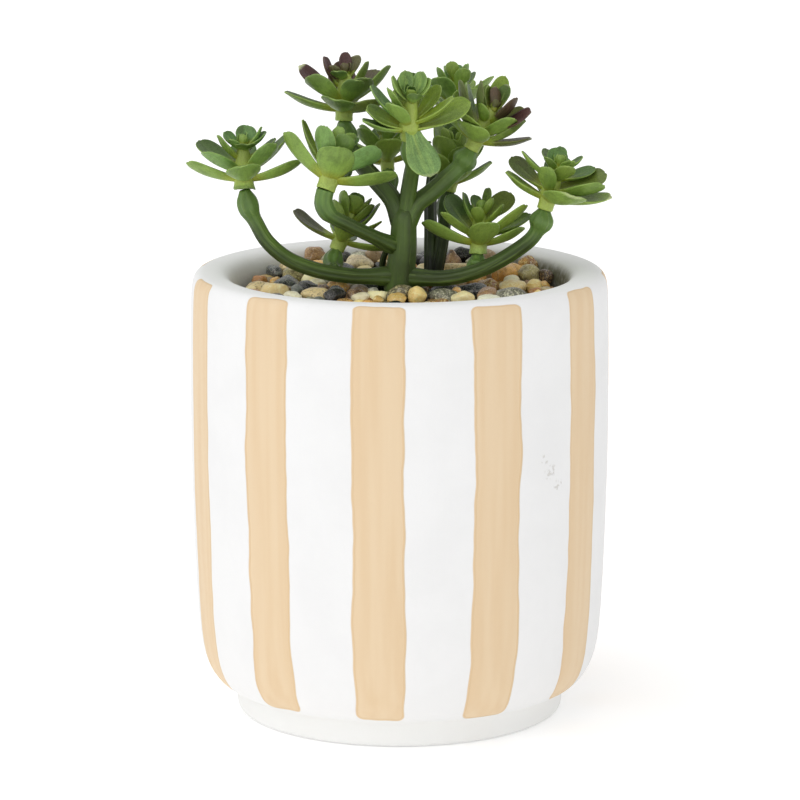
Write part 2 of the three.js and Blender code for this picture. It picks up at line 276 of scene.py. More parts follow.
@dataclass
class Wiring:
    """Adds nodes to one node tree and links them.

    Attributes:
        tree: The tree that the nodes go into.
    """

    tree: bpy.types.NodeTree

    def feed(self, socket: Socket, value: Feed) -> None:
        """Links a socket to another, or sets its value.

        Args:
            socket: The input.
            value: What feeds it.
        """
        if isinstance(value, Socket):
            self.tree.links.new(value, socket)
        else:
            socket.default_value = value

    def node(
        self, kind: str, inputs: dict[str | int, Feed] | None = None, **settings: object
    ) -> bpy.types.Node:
        """Adds one node.

        Args:
            kind: The node's type.
            inputs: What feeds each input, by name or number.
            **settings: The node's own properties.

        Returns:
            The new node.
        """
        made = self.tree.nodes.new(kind)
        for name, value in settings.items():
            setattr(made, name, value)
        for key, value in (inputs or {}).items():
            self.feed(made.inputs[key], value)
        return made

    def math(self, operation: str, *values: Feed) -> Socket:
        """The result of a Math node on the values."""
        made = self.node("ShaderNodeMath", dict(enumerate(values)), operation=operation)
        return made.outputs[0]

    def times(self, first: Feed, second: Feed) -> Socket:
        """Two values multiplied."""
        return self.math("MULTIPLY", first, second)

    def plus(self, first: Feed, second: Feed) -> Socket:
        """Two values added."""
        return self.math("ADD", first, second)

    def minus(self, first: Feed, second: Feed) -> Socket:
        """The second value taken from the first."""
        return self.math("SUBTRACT", first, second)

    def length(self, x: Feed, y: Feed) -> Socket:
        """The length of a flat vector."""
        return self.math("SQRT", self.plus(self.times(x, x), self.times(y, y)))

    def mix(self, share: Feed, first: Feed, second: Feed, mode: str = "MIX") -> Socket:
        """Two colours mixed.

        Args:
            share: How much of the second, from 0 to 1.
            first: The colour at 0.
            second: The colour at 1.
            mode: The way of mixing.

        Returns:
            The mixed colour.
        """
        inputs = {0: share, 6: first, 7: second}
        made = self.node("ShaderNodeMix", inputs, data_type="RGBA", blend_type=mode)
        return made.outputs[2]

    def ramp(
        self, value: Feed, low: float, high: float, start: float = 0.0, end: float = 1.0
    ) -> Socket:
        """A smooth step.

        Args:
            value: What is measured.
            low: Where the step starts.
            high: Where it ends.
            start: The result up to low.
            end: The result from high.

        Returns:
            The result.
        """
        if low > high:
            low, high, start, end = high, low, end, start
        inputs = {0: value, 1: low, 2: high, 3: start, 4: end}
        made = self.node("ShaderNodeMapRange", inputs, interpolation_type="SMOOTHSTEP")
        return made.outputs[0]

    def noise(
        self, vector: Feed, scale: Feed, detail: float = 2.0, roughness: float = 0.5
    ) -> Socket:
        """A cloudy value about 0.5, with so many clouds to a unit and finer layers in them."""
        inputs = {"Vector": vector, "Scale": scale, "Detail": detail, "Roughness": roughness}
        return self.node("ShaderNodeTexNoise", inputs).outputs[0]

    def sway(
        self, vector: Feed, reach: float, detail: float = 0.0, roughness: float = 0.5
    ) -> Socket:
        """A cloudy value about 0, with one cloud to a unit, multiplied by its reach."""
        return self.times(self.minus(self.noise(vector, 1.0, detail, roughness), 0.5), reach)

    def stretched(self, vector: Feed, scale: Point) -> Socket:
        """A vector multiplied along each axis."""
        inputs = {0: vector, 1: scale}
        return self.node("ShaderNodeVectorMath", inputs, operation="MULTIPLY").outputs[0]

    def split(self, vector: Feed) -> list[Socket]:
        """The three numbers of a vector."""
        return list(self.node("ShaderNodeSeparateXYZ", {0: vector}).outputs)

    def joined(self, x: Feed, y: Feed, z: Feed) -> Socket:
        """A vector of three numbers."""
        return self.node("ShaderNodeCombineXYZ", {0: x, 1: y, 2: z}).outputs[0]

    def place(self) -> Socket:
        """The point of the object, in millimetres."""
        point = self.node("ShaderNodeTexCoord").outputs["Object"]
        return self.stretched(point, (1 / MM, 1 / MM, 1 / MM))

    def read(self, name: str) -> Socket:
        """The three numbers stored on the mesh under a name."""
        return self.node("ShaderNodeAttribute", attribute_name=name).outputs["Vector"]


class Effect:
    """A shader node group that is built once and placed in each material that needs it.

    Attributes:
        title: The group's name.
        takes: The default of each input, by name.
        gives: The names of its outputs, all of them numbers.
    """

    title: ClassVar[str]
    takes: ClassVar[dict[str, float | Point]]
    gives: ClassVar[tuple[str, ...]]

    @classmethod
    def wire(cls, wiring: Wiring, taken: Taken) -> list[Socket]:
        """Wires the inside of the group.

        Args:
            wiring: The group's own tree.
            taken: The group's inputs.

        Returns:
            What feeds each output, in order.
        """
        raise NotImplementedError

    @classmethod
    def group(cls) -> bpy.types.NodeTree:
        """Builds the group when it is first asked for.

        Returns:
            The group.
        """
        made = bpy.data.node_groups.get(cls.title)
        if made:
            return made
        made = bpy.data.node_groups.new(cls.title, "ShaderNodeTree")
        for name, value in cls.takes.items():
            kind = "NodeSocketVector" if isinstance(value, tuple) else "NodeSocketFloat"
            socket = made.interface.new_socket(name, in_out="INPUT", socket_type=kind)
            socket.default_value = value
        for name in cls.gives:
            made.interface.new_socket(name, in_out="OUTPUT", socket_type="NodeSocketFloat")
        wiring = Wiring(made)
        inside = wiring.node("NodeGroupInput")
        taken = {name: inside.outputs[name] for name in cls.takes}
        outside = wiring.node("NodeGroupOutput")
        for name, source in zip(cls.gives, cls.wire(wiring, taken)):
            wiring.feed(outside.inputs[name], source)
        return made

    @classmethod
    def put(cls, wiring: Wiring, **inputs: Feed) -> list[Socket]:
        """Places the group in a material.

        Args:
            wiring: The material's tree.
            **inputs: What feeds each input, with _ for a blank in its name.

        Returns:
            The group's outputs, in order.
        """
        made = wiring.node("ShaderNodeGroup", node_tree=cls.group())
        for name, value in inputs.items():
            wiring.feed(made.inputs[name.replace("_", " ")], value)
        return [made.outputs[name] for name in cls.gives]


class Mottle(Effect):
    """Soft clouds in two sizes, for colour that is never quite even."""

    title = "mottle"
    takes = {"Point": (0.0, 0.0, 0.0), "Per mm": 0.2}
    gives = ("Clouds", "Fine")

    @classmethod
    def wire(cls, wiring: Wiring, taken: Taken) -> list[Socket]:
        """Wires the two layers of clouds.

        Args:
            wiring: The group's own tree.
            taken: The group's inputs.

        Returns:
            What feeds each output, in order.
        """
        clouds = wiring.noise(taken["Point"], taken["Per mm"], 3.0, 0.55)
        fine = wiring.noise(taken["Point"], wiring.times(taken["Per mm"], 9.0), 2.0, 0.6)
        return [clouds, fine]


class Streaks(Effect):
    """Fine lines that run along Z of the given point."""

    title = "lengthwise streaks"
    takes = {"Point": (0.0, 0.0, 0.0), "Per mm": 2.0, "Stretch": 0.06}
    gives = ("Lines", "Bands")

    @classmethod
    def wire(cls, wiring: Wiring, taken: Taken) -> list[Socket]:
        """Wires narrow lines and wider bands.

        Args:
            wiring: The group's own tree.
            taken: The group's inputs.

        Returns:
            What feeds each output, in order.
        """
        x, y, z = wiring.split(taken["Point"])
        point = wiring.joined(x, y, wiring.times(z, taken["Stretch"]))
        lines = wiring.noise(point, taken["Per mm"], 3.0, 0.6)
        bands = wiring.noise(point, wiring.times(taken["Per mm"], 0.35), 1.0, 0.4)
        return [lines, bands]


class PaintedStripes(Effect):
    """Hand-painted upright stripes round a pot: a rounded box each, with wandering edges.

    Attributes:
        stripes: How many go round.
        corner: The radius of their corners.
        wall: The radius of the wall that they stand on.
    """

    title = "painted stripes"
    takes = {
        "Point": (0.0, 0.0, 0.0),
        "First at": -5.8,
        "Pitch": 32.727,
        "Half width": 7.1,
        "Top": 112.3,
        "Foot": 8.0,
    }
    gives = ("Paint", "Rim")
    stripes: ClassVar[float] = 11.0
    corner: ClassVar[float] = 1.9
    wall: ClassVar[float] = 51.6

    @classmethod
    def wire(cls, wiring: Wiring, taken: Taken) -> list[Socket]:
        """Wires the distance to the nearest stripe's edge and cuts the masks from it.

        Args:
            wiring: The group's own tree.
            taken: The group's inputs.

        Returns:
            What feeds each output, in order.
        """
        do, times, plus, minus = wiring.math, wiring.times, wiring.plus, wiring.minus
        x, y, z = wiring.split(taken["Point"])
        radius = wiring.length(x, y)
        bearing = do("DEGREES", do("ARCTAN2", x, times(y, -1.0)))
        turns = do("DIVIDE", minus(bearing, taken["First at"]), taken["Pitch"])
        number = do("FLOOR", plus(turns, 0.5))
        away = times(minus(turns, number), taken["Pitch"])
        to_arc = times(radius, math.pi / 180)
        seed = times(do("MODULO", plus(number, 2 * cls.stripes), cls.stripes), 7.31)

        # the stripe as a whole wanders a little, then each edge on its own
        drift = wiring.sway(wiring.joined(seed, times(z, 0.012), 3.7), 1.6)
        arc = minus(times(away, to_arc), drift)
        edge_seed = plus(seed, times(do("SIGN", arc), 2.1))
        wave = wiring.sway(wiring.joined(edge_seed, times(z, 0.05), 0.0), 2.6, 2.0, 0.55)
        half = plus(times(taken["Half width"], to_arc), wave)

        # its ends are higher or lower from stripe to stripe and slope a little
        lift = wiring.sway(wiring.joined(seed, 0.5, 9.2), 2.6)
        slope = wiring.sway(wiring.joined(times(arc, 0.12), seed, 5.0), 2.0, 1.0)
        raised = plus(lift, slope)

        # over the rounded rim, the way inwards counts as height
        over = do("MAXIMUM", minus(cls.wall, radius), 0.0)
        z = plus(z, times(over, wiring.ramp(z, 100.0, 104.0)))
        top = plus(taken["Top"], raised)
        foot = plus(taken["Foot"], times(raised, 0.6))
        middle = times(plus(top, foot), 0.5)
        tall = times(minus(top, foot), 0.5)

        # the distance to the edge of a box with rounded corners, below 0 inside it
        out_x = plus(minus(do("ABSOLUTE", arc), half), cls.corner)
        out_z = plus(minus(do("ABSOLUTE", minus(z, middle)), tall), cls.corner)
        far = wiring.length(do("MAXIMUM", out_x, 0.0), do("MAXIMUM", out_z, 0.0))
        near = do("MINIMUM", do("MAXIMUM", out_x, out_z), 0.0)
        distance = minus(plus(far, near), cls.corner)

        outer_wall = wiring.ramp(radius, 43.0, 43.6)
        painted = times(wiring.ramp(distance, 0.14, -0.14), outer_wall)
        rim = wiring.ramp(do("ABSOLUTE", plus(distance, 0.42)), 0.42, 0.0)
        return [painted, times(rim, painted)]


class StoneGrain(Effect):
    """The grains, veins and fine pits of a worn pebble."""

    title = "stone grain"
    takes = {"Point": (0.0, 0.0, 0.0), "Grains per mm": 1.6}
    gives = ("Clouds", "Grains", "Veins", "Pits")

    @classmethod
    def wire(cls, wiring: Wiring, taken: Taken) -> list[Socket]:
        """Wires clouds of colour, sharp grains, thin veins and pits.

        Args:
            wiring: The group's own tree.
            taken: The group's inputs.

        Returns:
            What feeds each output, in order.
        """
        point = taken["Point"]
        clouds = wiring.noise(point, 0.28, 3.0, 0.6)
        grains = wiring.noise(point, taken["Grains per mm"], 2.0, 0.7)
        bent = wiring.noise(point, 0.34, 2.0, 0.5)
        veins = wiring.ramp(wiring.math("ABSOLUTE", wiring.minus(bent, 0.5)), 0.02, 0.0)
        pits = wiring.noise(point, 4.2, 2.0, 0.65)
        return [clouds, wiring.ramp(grains, 0.5, 0.64), veins, pits]


@dataclass
class Surface:
    """A material under way: its tree, its shader and what is fed to it.

    Attributes:
        name: The material's name.
        roughness: The roughness where nothing else feeds it.
        specular: How strongly it reflects.
    """

    name: str
    roughness: float = 0.5
    specular: float = 0.5
    material: bpy.types.Material = field(init=False)
    wiring: Wiring = field(init=False)
    shader: bpy.types.Node = field(init=False)

    def __post_init__(self) -> None:
        """Makes the material and sets the shader's fixed values."""
        self.material = bpy.data.materials.new(self.name)
        self.material.use_nodes = True
        self.wiring = Wiring(self.material.node_tree)
        self.shader = self.material.node_tree.nodes["Principled BSDF"]
        self.fix("Roughness", self.roughness)
        self.fix("Specular IOR Level", self.specular)

    def fix(self, name: str, value: float | tuple[float, ...]) -> None:
        """Sets a value of the shader that is the same all over."""
        self.shader.inputs[name].default_value = value

    def feed(self, name: str, source: Socket) -> None:
        """Links something that changes over the surface to the shader."""
        self.wiring.feed(self.shader.inputs[name], source)

    def relief(self, height: Socket, depth: float) -> None:
        """Adds a bump.

        Args:
            height: The height, from 0 to 1.
            depth: How many millimetres 1 stands for.
        """
        inputs = {"Height": height, "Distance": depth * MM, "Strength": 1.0}
        bump = self.wiring.node("ShaderNodeBump", inputs)
        self.feed("Normal", bump.outputs[0])

    def glow(self, weight: float, radius: Point, scale: float) -> None:
        """Lets light through a little way.

        Args:
            weight: How much of the surface does it.
            radius: How far red, green and blue go, as shares of the scale.
            scale: The distance, in millimetres.
        """
        self.fix("Subsurface Weight", weight)
        self.fix("Subsurface Radius", radius)
        self.fix("Subsurface Scale", scale * MM)


# --------------------------------------------------------------------------------- finishes


@dataclass(frozen=True)
class PotFinish:
    """Matt white cast body with apricot stripes brushed on it.

    Attributes:
        body: The white.
        body_shade: A slightly greyer white, laid in soft clouds.
        stripe: The stripes' paint.
        stripe_shade: The paint where it lies thicker.
        mark: The grey of small scuffs.
        dust_and_shade: Dust on the wall just above the pebbles, with painted shade of the hollow there.
        foot: A lighter white on the foot, a painted light for the floor's bounce under the overhang.
        scuffs: The middle of each scuffed spot and how far it reaches.
    """

    body: Colour = paint(234, 234, 234)
    body_shade: Colour = paint(231, 231, 231)
    stripe: Colour = paint(226, 203, 170)
    stripe_shade: Colour = paint(218, 189, 150)
    mark: Colour = paint(214, 212, 208)
    dust_and_shade: Colour = paint(112, 111, 92)
    foot: Colour = paint(236, 236, 234)
    scuffs: tuple[tuple[Point, float], ...] = (
        ((36.4, -37.0, 68.0), 2.6),
        ((35.0, -38.4, 71.4), 1.6),
        ((38.3, -35.0, 64.4), 1.9),
    )

    def material(self) -> bpy.types.Material:
        """Builds the material from Object coordinates.

        Returns:
            The material.
        """
        surface = Surface("pot_paint", roughness=0.62, specular=0.35)
        wiring = surface.wiring
        point = wiring.place()
        clouds, fine = Mottle.put(wiring, Point=point, Per_mm=0.06)
        painted, rim = PaintedStripes.put(wiring, Point=point)
        lines, bands = Streaks.put(wiring, Point=point, Per_mm=1.1, Stretch=0.05)

        white = wiring.mix(wiring.ramp(clouds, 0.35, 0.7), self.body, self.body_shade)
        scuffed = self.scuffed(wiring, point)
        white = wiring.mix(scuffed, white, self.mark)
        # Dust low on the inner wall, mostly painted shade of the hollow above the pebbles
        white = wiring.mix(self.dusted_and_shaded(wiring, point), white, self.dust_and_shade)
        # the foot is painted a lighter white, a painted light for the floor's bounce
        white = wiring.mix(wiring.ramp(wiring.split(point)[2], 8.2, 6.8), white, self.foot)
        shade = wiring.times(wiring.ramp(bands, 0.3, 0.75), 0.45)
        shade = wiring.plus(shade, wiring.times(lines, 0.25))
        shade = wiring.math("MAXIMUM", shade, rim)
        apricot = wiring.mix(shade, self.stripe, self.stripe_shade)
        surface.feed("Base Color", wiring.mix(painted, white, apricot))

        matt = wiring.ramp(fine, 0.3, 0.7, 0.58, 0.7)
        surface.feed("Roughness", wiring.minus(matt, wiring.times(painted, 0.06)))
        height = wiring.plus(wiring.times(painted, 0.5), wiring.times(rim, 0.5))
        strokes = wiring.times(lines, 0.22)
        grit = wiring.times(wiring.noise(point, 2.4, 2.0, 0.6), 0.25)
        height = wiring.plus(wiring.plus(height, strokes), grit)
        surface.relief(wiring.minus(height, wiring.times(scuffed, 0.6)), 0.14)
        return surface.material

    def dusted_and_shaded(self, wiring: Wiring, point: Socket) -> Socket:
        """Masks the dusty band of the inner wall, blotchy and thicker on the right: some dusty marks,
        mostly painted shade of the hollow above the pebbles.

        Args:
            wiring: The material's tree.
            point: The point, in millimetres.

        Returns:
            How dusty and how deep in painted shade the surface is, from 0 to 1.
        """
        x, y, z = wiring.split(point)
        inside = wiring.ramp(wiring.length(x, y), 44.0, 42.0)
        spots = wiring.ramp(wiring.noise(point, 0.55, 3.0, 0.65), 0.2, 0.6, 0.6, 1.0)
        low = wiring.ramp(z, 110.9, 107.8)
        amount = wiring.times(wiring.times(inside, spots), low)
        return wiring.times(amount, wiring.ramp(x, -20.0, 34.0, 0.18, 1.0))

    def scuffed(self, wiring: Wiring, point: Socket) -> Socket:
        """Masks the scuffed spots.

        Args:
            wiring: The material's tree.
            point: The point, in millimetres.

        Returns:
            1 where the surface is scuffed.
        """
        torn = wiring.ramp(wiring.noise(point, 1.15, 2.0, 0.6), 0.56, 0.6)
        found: Feed = 0.0
        for middle, reach in self.scuffs:
            inputs = {0: point, 1: middle}
            gone = wiring.node("ShaderNodeVectorMath", inputs, operation="DISTANCE").outputs["Value"]
            found = wiring.math("MAXIMUM", found, wiring.ramp(gone, reach, reach * 0.5))
        return wiring.times(torn, found)


@dataclass(frozen=True)
class FoamFinish:
    """Dull dark green foam with open cells.

    Attributes:
        wall: The walls between the cells.
        cell: The cells.
    """

    wall: Colour = paint(66, 76, 58)
    cell: Colour = paint(30, 36, 27)

    def material(self) -> bpy.types.Material:
        """Builds the material from Object coordinates.

        Returns:
            The material.
        """
        surface = Surface("foam_cells", roughness=0.95, specular=0.1)
        wiring = surface.wiring
        point = wiring.place()
        cells = wiring.node("ShaderNodeTexVoronoi", {"Vector": point, "Scale": 1.5}).outputs[0]
        _, fine = Mottle.put(wiring, Point=point, Per_mm=0.15)
        surface.feed("Base Color", wiring.mix(wiring.ramp(cells, 0.15, 0.6), self.cell, self.wall))
        surface.feed("Roughness", wiring.ramp(fine, 0.3, 0.7, 0.88, 1.0))
        surface.relief(cells, 0.5)
        return surface.material


class Stone(Enum):
    """The kinds of pebble in the mix."""

    CREAM = "cream"
    YELLOW = "yellow"
    AMBER = "amber"
    TAN = "tan"
    PINK = "pink"
    SLATE = "slate"
    BLACK = "black"
    GREY = "grey"
    WHITE = "white"
    BROWN = "brown"
    ORANGE = "orange"
    OLIVE = "olive"


@dataclass(frozen=True)
class StoneFinish:
    """One kind of pebble.

    Attributes:
        light: Its lighter colour.
        dark: Its darker colour.
        grain: The colour of its grains.
        graininess: How strongly the grains show.
        veining: How strongly the veins show.
        roughness: How matt it is.
        vein: The colour of the veins of every kind.
        shadow: What a pebble that lies deep is darkened with.
    """

    light: Colour
    dark: Colour
    grain: Colour
    graininess: float
    veining: float
    roughness: float
    vein: ClassVar[Colour] = paint(226, 218, 204)
    shadow: ClassVar[Colour] = paint(40, 33, 26)

    def material(self, name: str) -> bpy.types.Material:
        """Builds the material from Object coordinates and what is stored on each pebble.

        Args:
            name: The material's name.

        Returns:
            The material.
        """
        surface = Surface(name, roughness=self.roughness, specular=0.7)
        wiring = surface.wiring
        clouds, grains, veins, pits = StoneGrain.put(wiring, Point=wiring.place())
        own = wiring.split(wiring.read("stone"))
        clouds = wiring.plus(clouds, wiring.times(own[0], 0.24))
        base = wiring.mix(wiring.ramp(clouds, 0.36, 0.72), self.dark, self.light)
        base = wiring.mix(wiring.times(grains, self.graininess), base, self.grain)
        pale = wiring.times(veins, self.veining)
        base = wiring.mix(pale, base, self.vein)
        deep = wiring.ramp(own[1], 0.0, 1.0, 0.0, 0.6)
        surface.feed("Base Color", wiring.mix(deep, base, self.shadow))
        rough = wiring.ramp(pits, 0.3, 0.7, self.roughness - 0.14, self.roughness + 0.06)
        surface.feed("Roughness", rough)
        surface.relief(wiring.plus(pits, wiring.times(grains, 0.4)), 0.09)
        return surface.material


STONES: dict[Stone, StoneFinish] = {
    kind: StoneFinish(paint(*light), paint(*dark), paint(*grain), *shares)
    for kind, light, dark, grain, *shares in (
        (Stone.CREAM, (255, 247, 190), (231, 205, 140), (255, 255, 216), 0.4, 0.25, 0.4),
        (Stone.YELLOW, (254, 228, 147), (218, 179, 97), (255, 252, 190), 0.4, 0.2, 0.4),
        (Stone.AMBER, (239, 185, 101), (143, 98, 50), (255, 237, 157), 0.5, 0.4, 0.3),
        (Stone.TAN, (229, 207, 150), (160, 134, 90), (99, 82, 58), 0.6, 0.2, 0.44),
        (Stone.PINK, (227, 209, 164), (160, 134, 97), (120, 96, 70), 0.55, 0.3, 0.4),
        (Stone.SLATE, (107, 112, 105), (48, 52, 53), (149, 151, 135), 0.45, 0.25, 0.3),
        (Stone.BLACK, (54, 52, 50), (23, 23, 24), (90, 86, 78), 0.35, 0.1, 0.16),
        (Stone.GREY, (187, 185, 154), (105, 104, 87), (248, 247, 212), 0.6, 0.4, 0.42),
        (Stone.WHITE, (255, 255, 229), (237, 228, 189), (202, 183, 140), 0.3, 0.1, 0.4),
        (Stone.BROWN, (162, 123, 81), (86, 65, 48), (216, 181, 127), 0.5, 0.35, 0.36),
        (Stone.ORANGE, (239, 185, 100), (180, 123, 60), (126, 88, 50), 0.45, 0.2, 0.36),
        (Stone.OLIVE, (180, 168, 115), (90, 84, 58), (229, 219, 160), 0.6, 0.35, 0.4),
    )
}


@dataclass(frozen=True)
class GritAndGapShadeFinish:
    """The dark fine gravel between and under the pebbles, its darkness partly a painted shade for the gaps
    between them.

    Attributes:
        light: The grains.
        dark: The gaps between them.
    """

    light: Colour = paint(96, 80, 60)
    dark: Colour = paint(22, 19, 16)

    def material(self) -> bpy.types.Material:
        """Builds the material from Object coordinates.

        Returns:
            The material.
        """
        surface = Surface("bed_grit_and_gap_shade", roughness=0.85, specular=0.25)
        wiring = surface.wiring
        point = wiring.place()
        cells = wiring.node("ShaderNodeTexVoronoi", {"Vector": point, "Scale": 1.1})
        clouds, fine = Mottle.put(wiring, Point=point, Per_mm=0.12)
        tone = wiring.times(wiring.ramp(cells.outputs[0], 0.7, 0.1), clouds)
        surface.feed("Base Color", wiring.mix(tone, self.dark, self.light))
        surface.feed("Roughness", wiring.ramp(fine, 0.3, 0.7, 0.7, 0.95))
        surface.relief(cells.outputs[0], 0.6)
        return surface.material


@dataclass(frozen=True)
class StemFinish:
    """Ribbed green plastic with lighter streaks along it and a painted highlight on the crests of its
    ribs.

    Attributes:
        light: The painted highlight on the crests of the ribs, and the streaks.
        middle: The lighter bands along the branch.
        dark: The darker bands.
        fresh: The tips of the branches.
    """

    light: Colour = paint(124, 150, 70)
    middle: Colour = paint(64, 90, 28)
    dark: Colour = paint(26, 42, 12)
    fresh: Colour = paint(98, 134, 62)

    def material(self) -> bpy.types.Material:
        """Builds the material from what is stored along each branch.

        Returns:
            The material.
        """
        surface = Surface("stem_plastic", roughness=0.46, specular=0.45)
        wiring = surface.wiring
        sleeve, own = wiring.read("sleeve"), wiring.split(wiring.read("stalk"))
        lines, bands = Streaks.put(wiring, Point=sleeve, Per_mm=1.3, Stretch=0.05)
        clouds, fine = Mottle.put(wiring, Point=wiring.place(), Per_mm=0.1)
        crest_highlight = own[1]
        body = wiring.mix(wiring.ramp(bands, 0.3, 0.7), self.dark, self.middle)
        body = wiring.mix(wiring.times(own[0], 0.75), body, self.fresh)
        # a painted highlight on the crests of the ribs, so that the furrows stay darker
        body = wiring.mix(wiring.times(crest_highlight, 0.24), body, self.light)
        body = wiring.mix(wiring.ramp(lines, 0.56, 0.68, 0.0, 0.5), body, self.light)
        shaded = wiring.ramp(clouds, 0.3, 0.7, 0.72, 1.08)
        # each branch's darkness, which on the back stalks is painted shade
        deep = wiring.times(own[2], 0.62)
        shaded = wiring.minus(shaded, deep)
        grey = wiring.joined(shaded, shaded, shaded)
        surface.feed("Base Color", wiring.mix(1.0, body, grey, "MULTIPLY"))
        surface.feed("Roughness", wiring.ramp(fine, 0.3, 0.7, 0.38, 0.54))
        surface.relief(wiring.plus(lines, wiring.times(bands, 0.8)), 0.22)
        surface.glow(0.06, (0.4, 0.7, 0.2), 1.2)
        return surface.material


@dataclass(frozen=True)
class LeafFinish:
    """Satin green plastic: yellow-green at the root, sprayed darker towards the ends.

    Attributes:
        root: The root of the leaf and the hub.
        under: The underside.
        upper: The upper side of a blueish leaf.
        bright: The upper side of a yellow leaf.
        sprayed: The darker paint sprayed in patches over the ends.
        rim: The edge and the midrib.
        cool: What the ends of blueish leaves lean towards.
        warm: What the ends of yellow leaves lean towards.
        blush: The purple of the dark leaves.
        pale: The pale tip of some leaves.
        even: The leaf that is pale all over.
    """

    root: Colour = paint(158, 168, 60)
    under: Colour = paint(141, 172, 78)
    upper: Colour = paint(87, 119, 48)
    bright: Colour = paint(136, 168, 58)
    sprayed: Colour = paint(67, 91, 36)
    rim: Colour = paint(168, 194, 104)
    cool: Colour = paint(116, 160, 90)
    warm: Colour = paint(136, 154, 46)
    blush: Colour = paint(82, 52, 48)
    pale: Colour = paint(206, 212, 164)
    even: Colour = paint(122, 156, 92)

    def material(self) -> bpy.types.Material:
        """Builds the material from what is stored on each leaf.

        Returns:
            The material.
        """
        surface = Surface("leaf_plastic", roughness=0.42, specular=0.4)
        wiring = surface.wiring
        do, mix, ramp = wiring.math, wiring.mix, wiring.ramp
        times, plus, minus = wiring.times, wiring.plus, wiring.minus
        across, along, side = wiring.split(wiring.read("blade"))
        tint, blush, lip = wiring.split(wiring.read("mood"))
        clouds, fine = Mottle.put(wiring, Point=wiring.place(), Per_mm=0.3)
        off = minus(clouds, 0.5)
        shifted = plus(times(across, 4.0), times(tint, 40.0))
        grain = wiring.joined(shifted, side, times(along, 14.0))
        lines, bands = Streaks.put(wiring, Point=grain, Per_mm=1.5, Stretch=0.1)

        above = ramp(side, 0.35, 0.65)
        reach = plus(along, times(off, 0.25))
        under = mix(ramp(reach, 0.06, 0.42), self.root, self.under)
        topside = mix(ramp(tint, 0.45, 0.95), self.upper, self.bright)
        upper = mix(ramp(reach, 0.14, 0.55), self.root, topside)
        body = mix(above, under, upper)
        body = mix(ramp(tint, 0.0, 0.45, 0.75, 0.0), body, mix(ramp(reach, 0.1, 0.5), body, self.cool))
        body = mix(ramp(tint, 0.55, 1.0, 0.0, 0.5), body, self.warm)
        patches = times(ramp(clouds, 0.46, 0.62), ramp(along, 0.3, 0.75))
        patches = times(patches, ramp(above, 0.0, 1.0, 0.45, 0.75))
        patches = times(patches, ramp(tint, 0.7, 0.9, 1.0, 0.35))
        body = mix(patches, body, self.sprayed)
        dark = times(ramp(reach, 0.42, 0.86), times(lip, -1.0))
        body = mix(dark, body, self.sprayed)
        body = mix(ramp(tint, 1.3, 1.7), body, mix(ramp(lines, 0.35, 0.7, 0.0, 0.4), self.even, self.rim))
        edge = ramp(do("ABSOLUTE", minus(side, 0.5)), 0.46, 0.2)
        body = mix(times(edge, 0.55), body, self.rim)
        rib = times(ramp(do("ABSOLUTE", across), 0.2, 0.03), above)
        rib = times(rib, ramp(along, 0.92, 0.3))
        body = mix(times(rib, 0.6), body, self.rim)

        stain = plus(ramp(along, 0.12, 0.5), times(off, 0.9))
        stain = times(ramp(stain, 0.15, 0.6), blush)
        stain = times(stain, ramp(above, 0.0, 1.0, 0.88, 1.0))
        body = mix(stain, body, self.blush)
        tipped = times(ramp(plus(along, times(off, 0.06)), 0.94, 0.99), lip)
        body = mix(times(tipped, 0.85), body, self.pale)
        shade = plus(ramp(lines, 0.25, 0.75, 0.9, 1.1), times(off, 0.75))
        blotched = times(ramp(fine, 0.38, 0.72), ramp(above, 0.0, 1.0, 0.16, 0.28))
        shade = minus(shade, blotched)
        body = mix(1.0, body, wiring.joined(shade, shade, shade), "MULTIPLY")
        surface.feed("Base Color", body)
        surface.feed("Roughness", ramp(fine, 0.3, 0.7, 0.36, 0.52))
        height = plus(times(lines, 0.7), times(fine, 0.4))
        surface.relief(plus(height, times(rib, 0.8)), 0.12)
        surface.glow(0.12, (0.5, 0.7, 0.15), 1.4)
        return surface.material


# -------------------------------------------------------------------------------------- pot


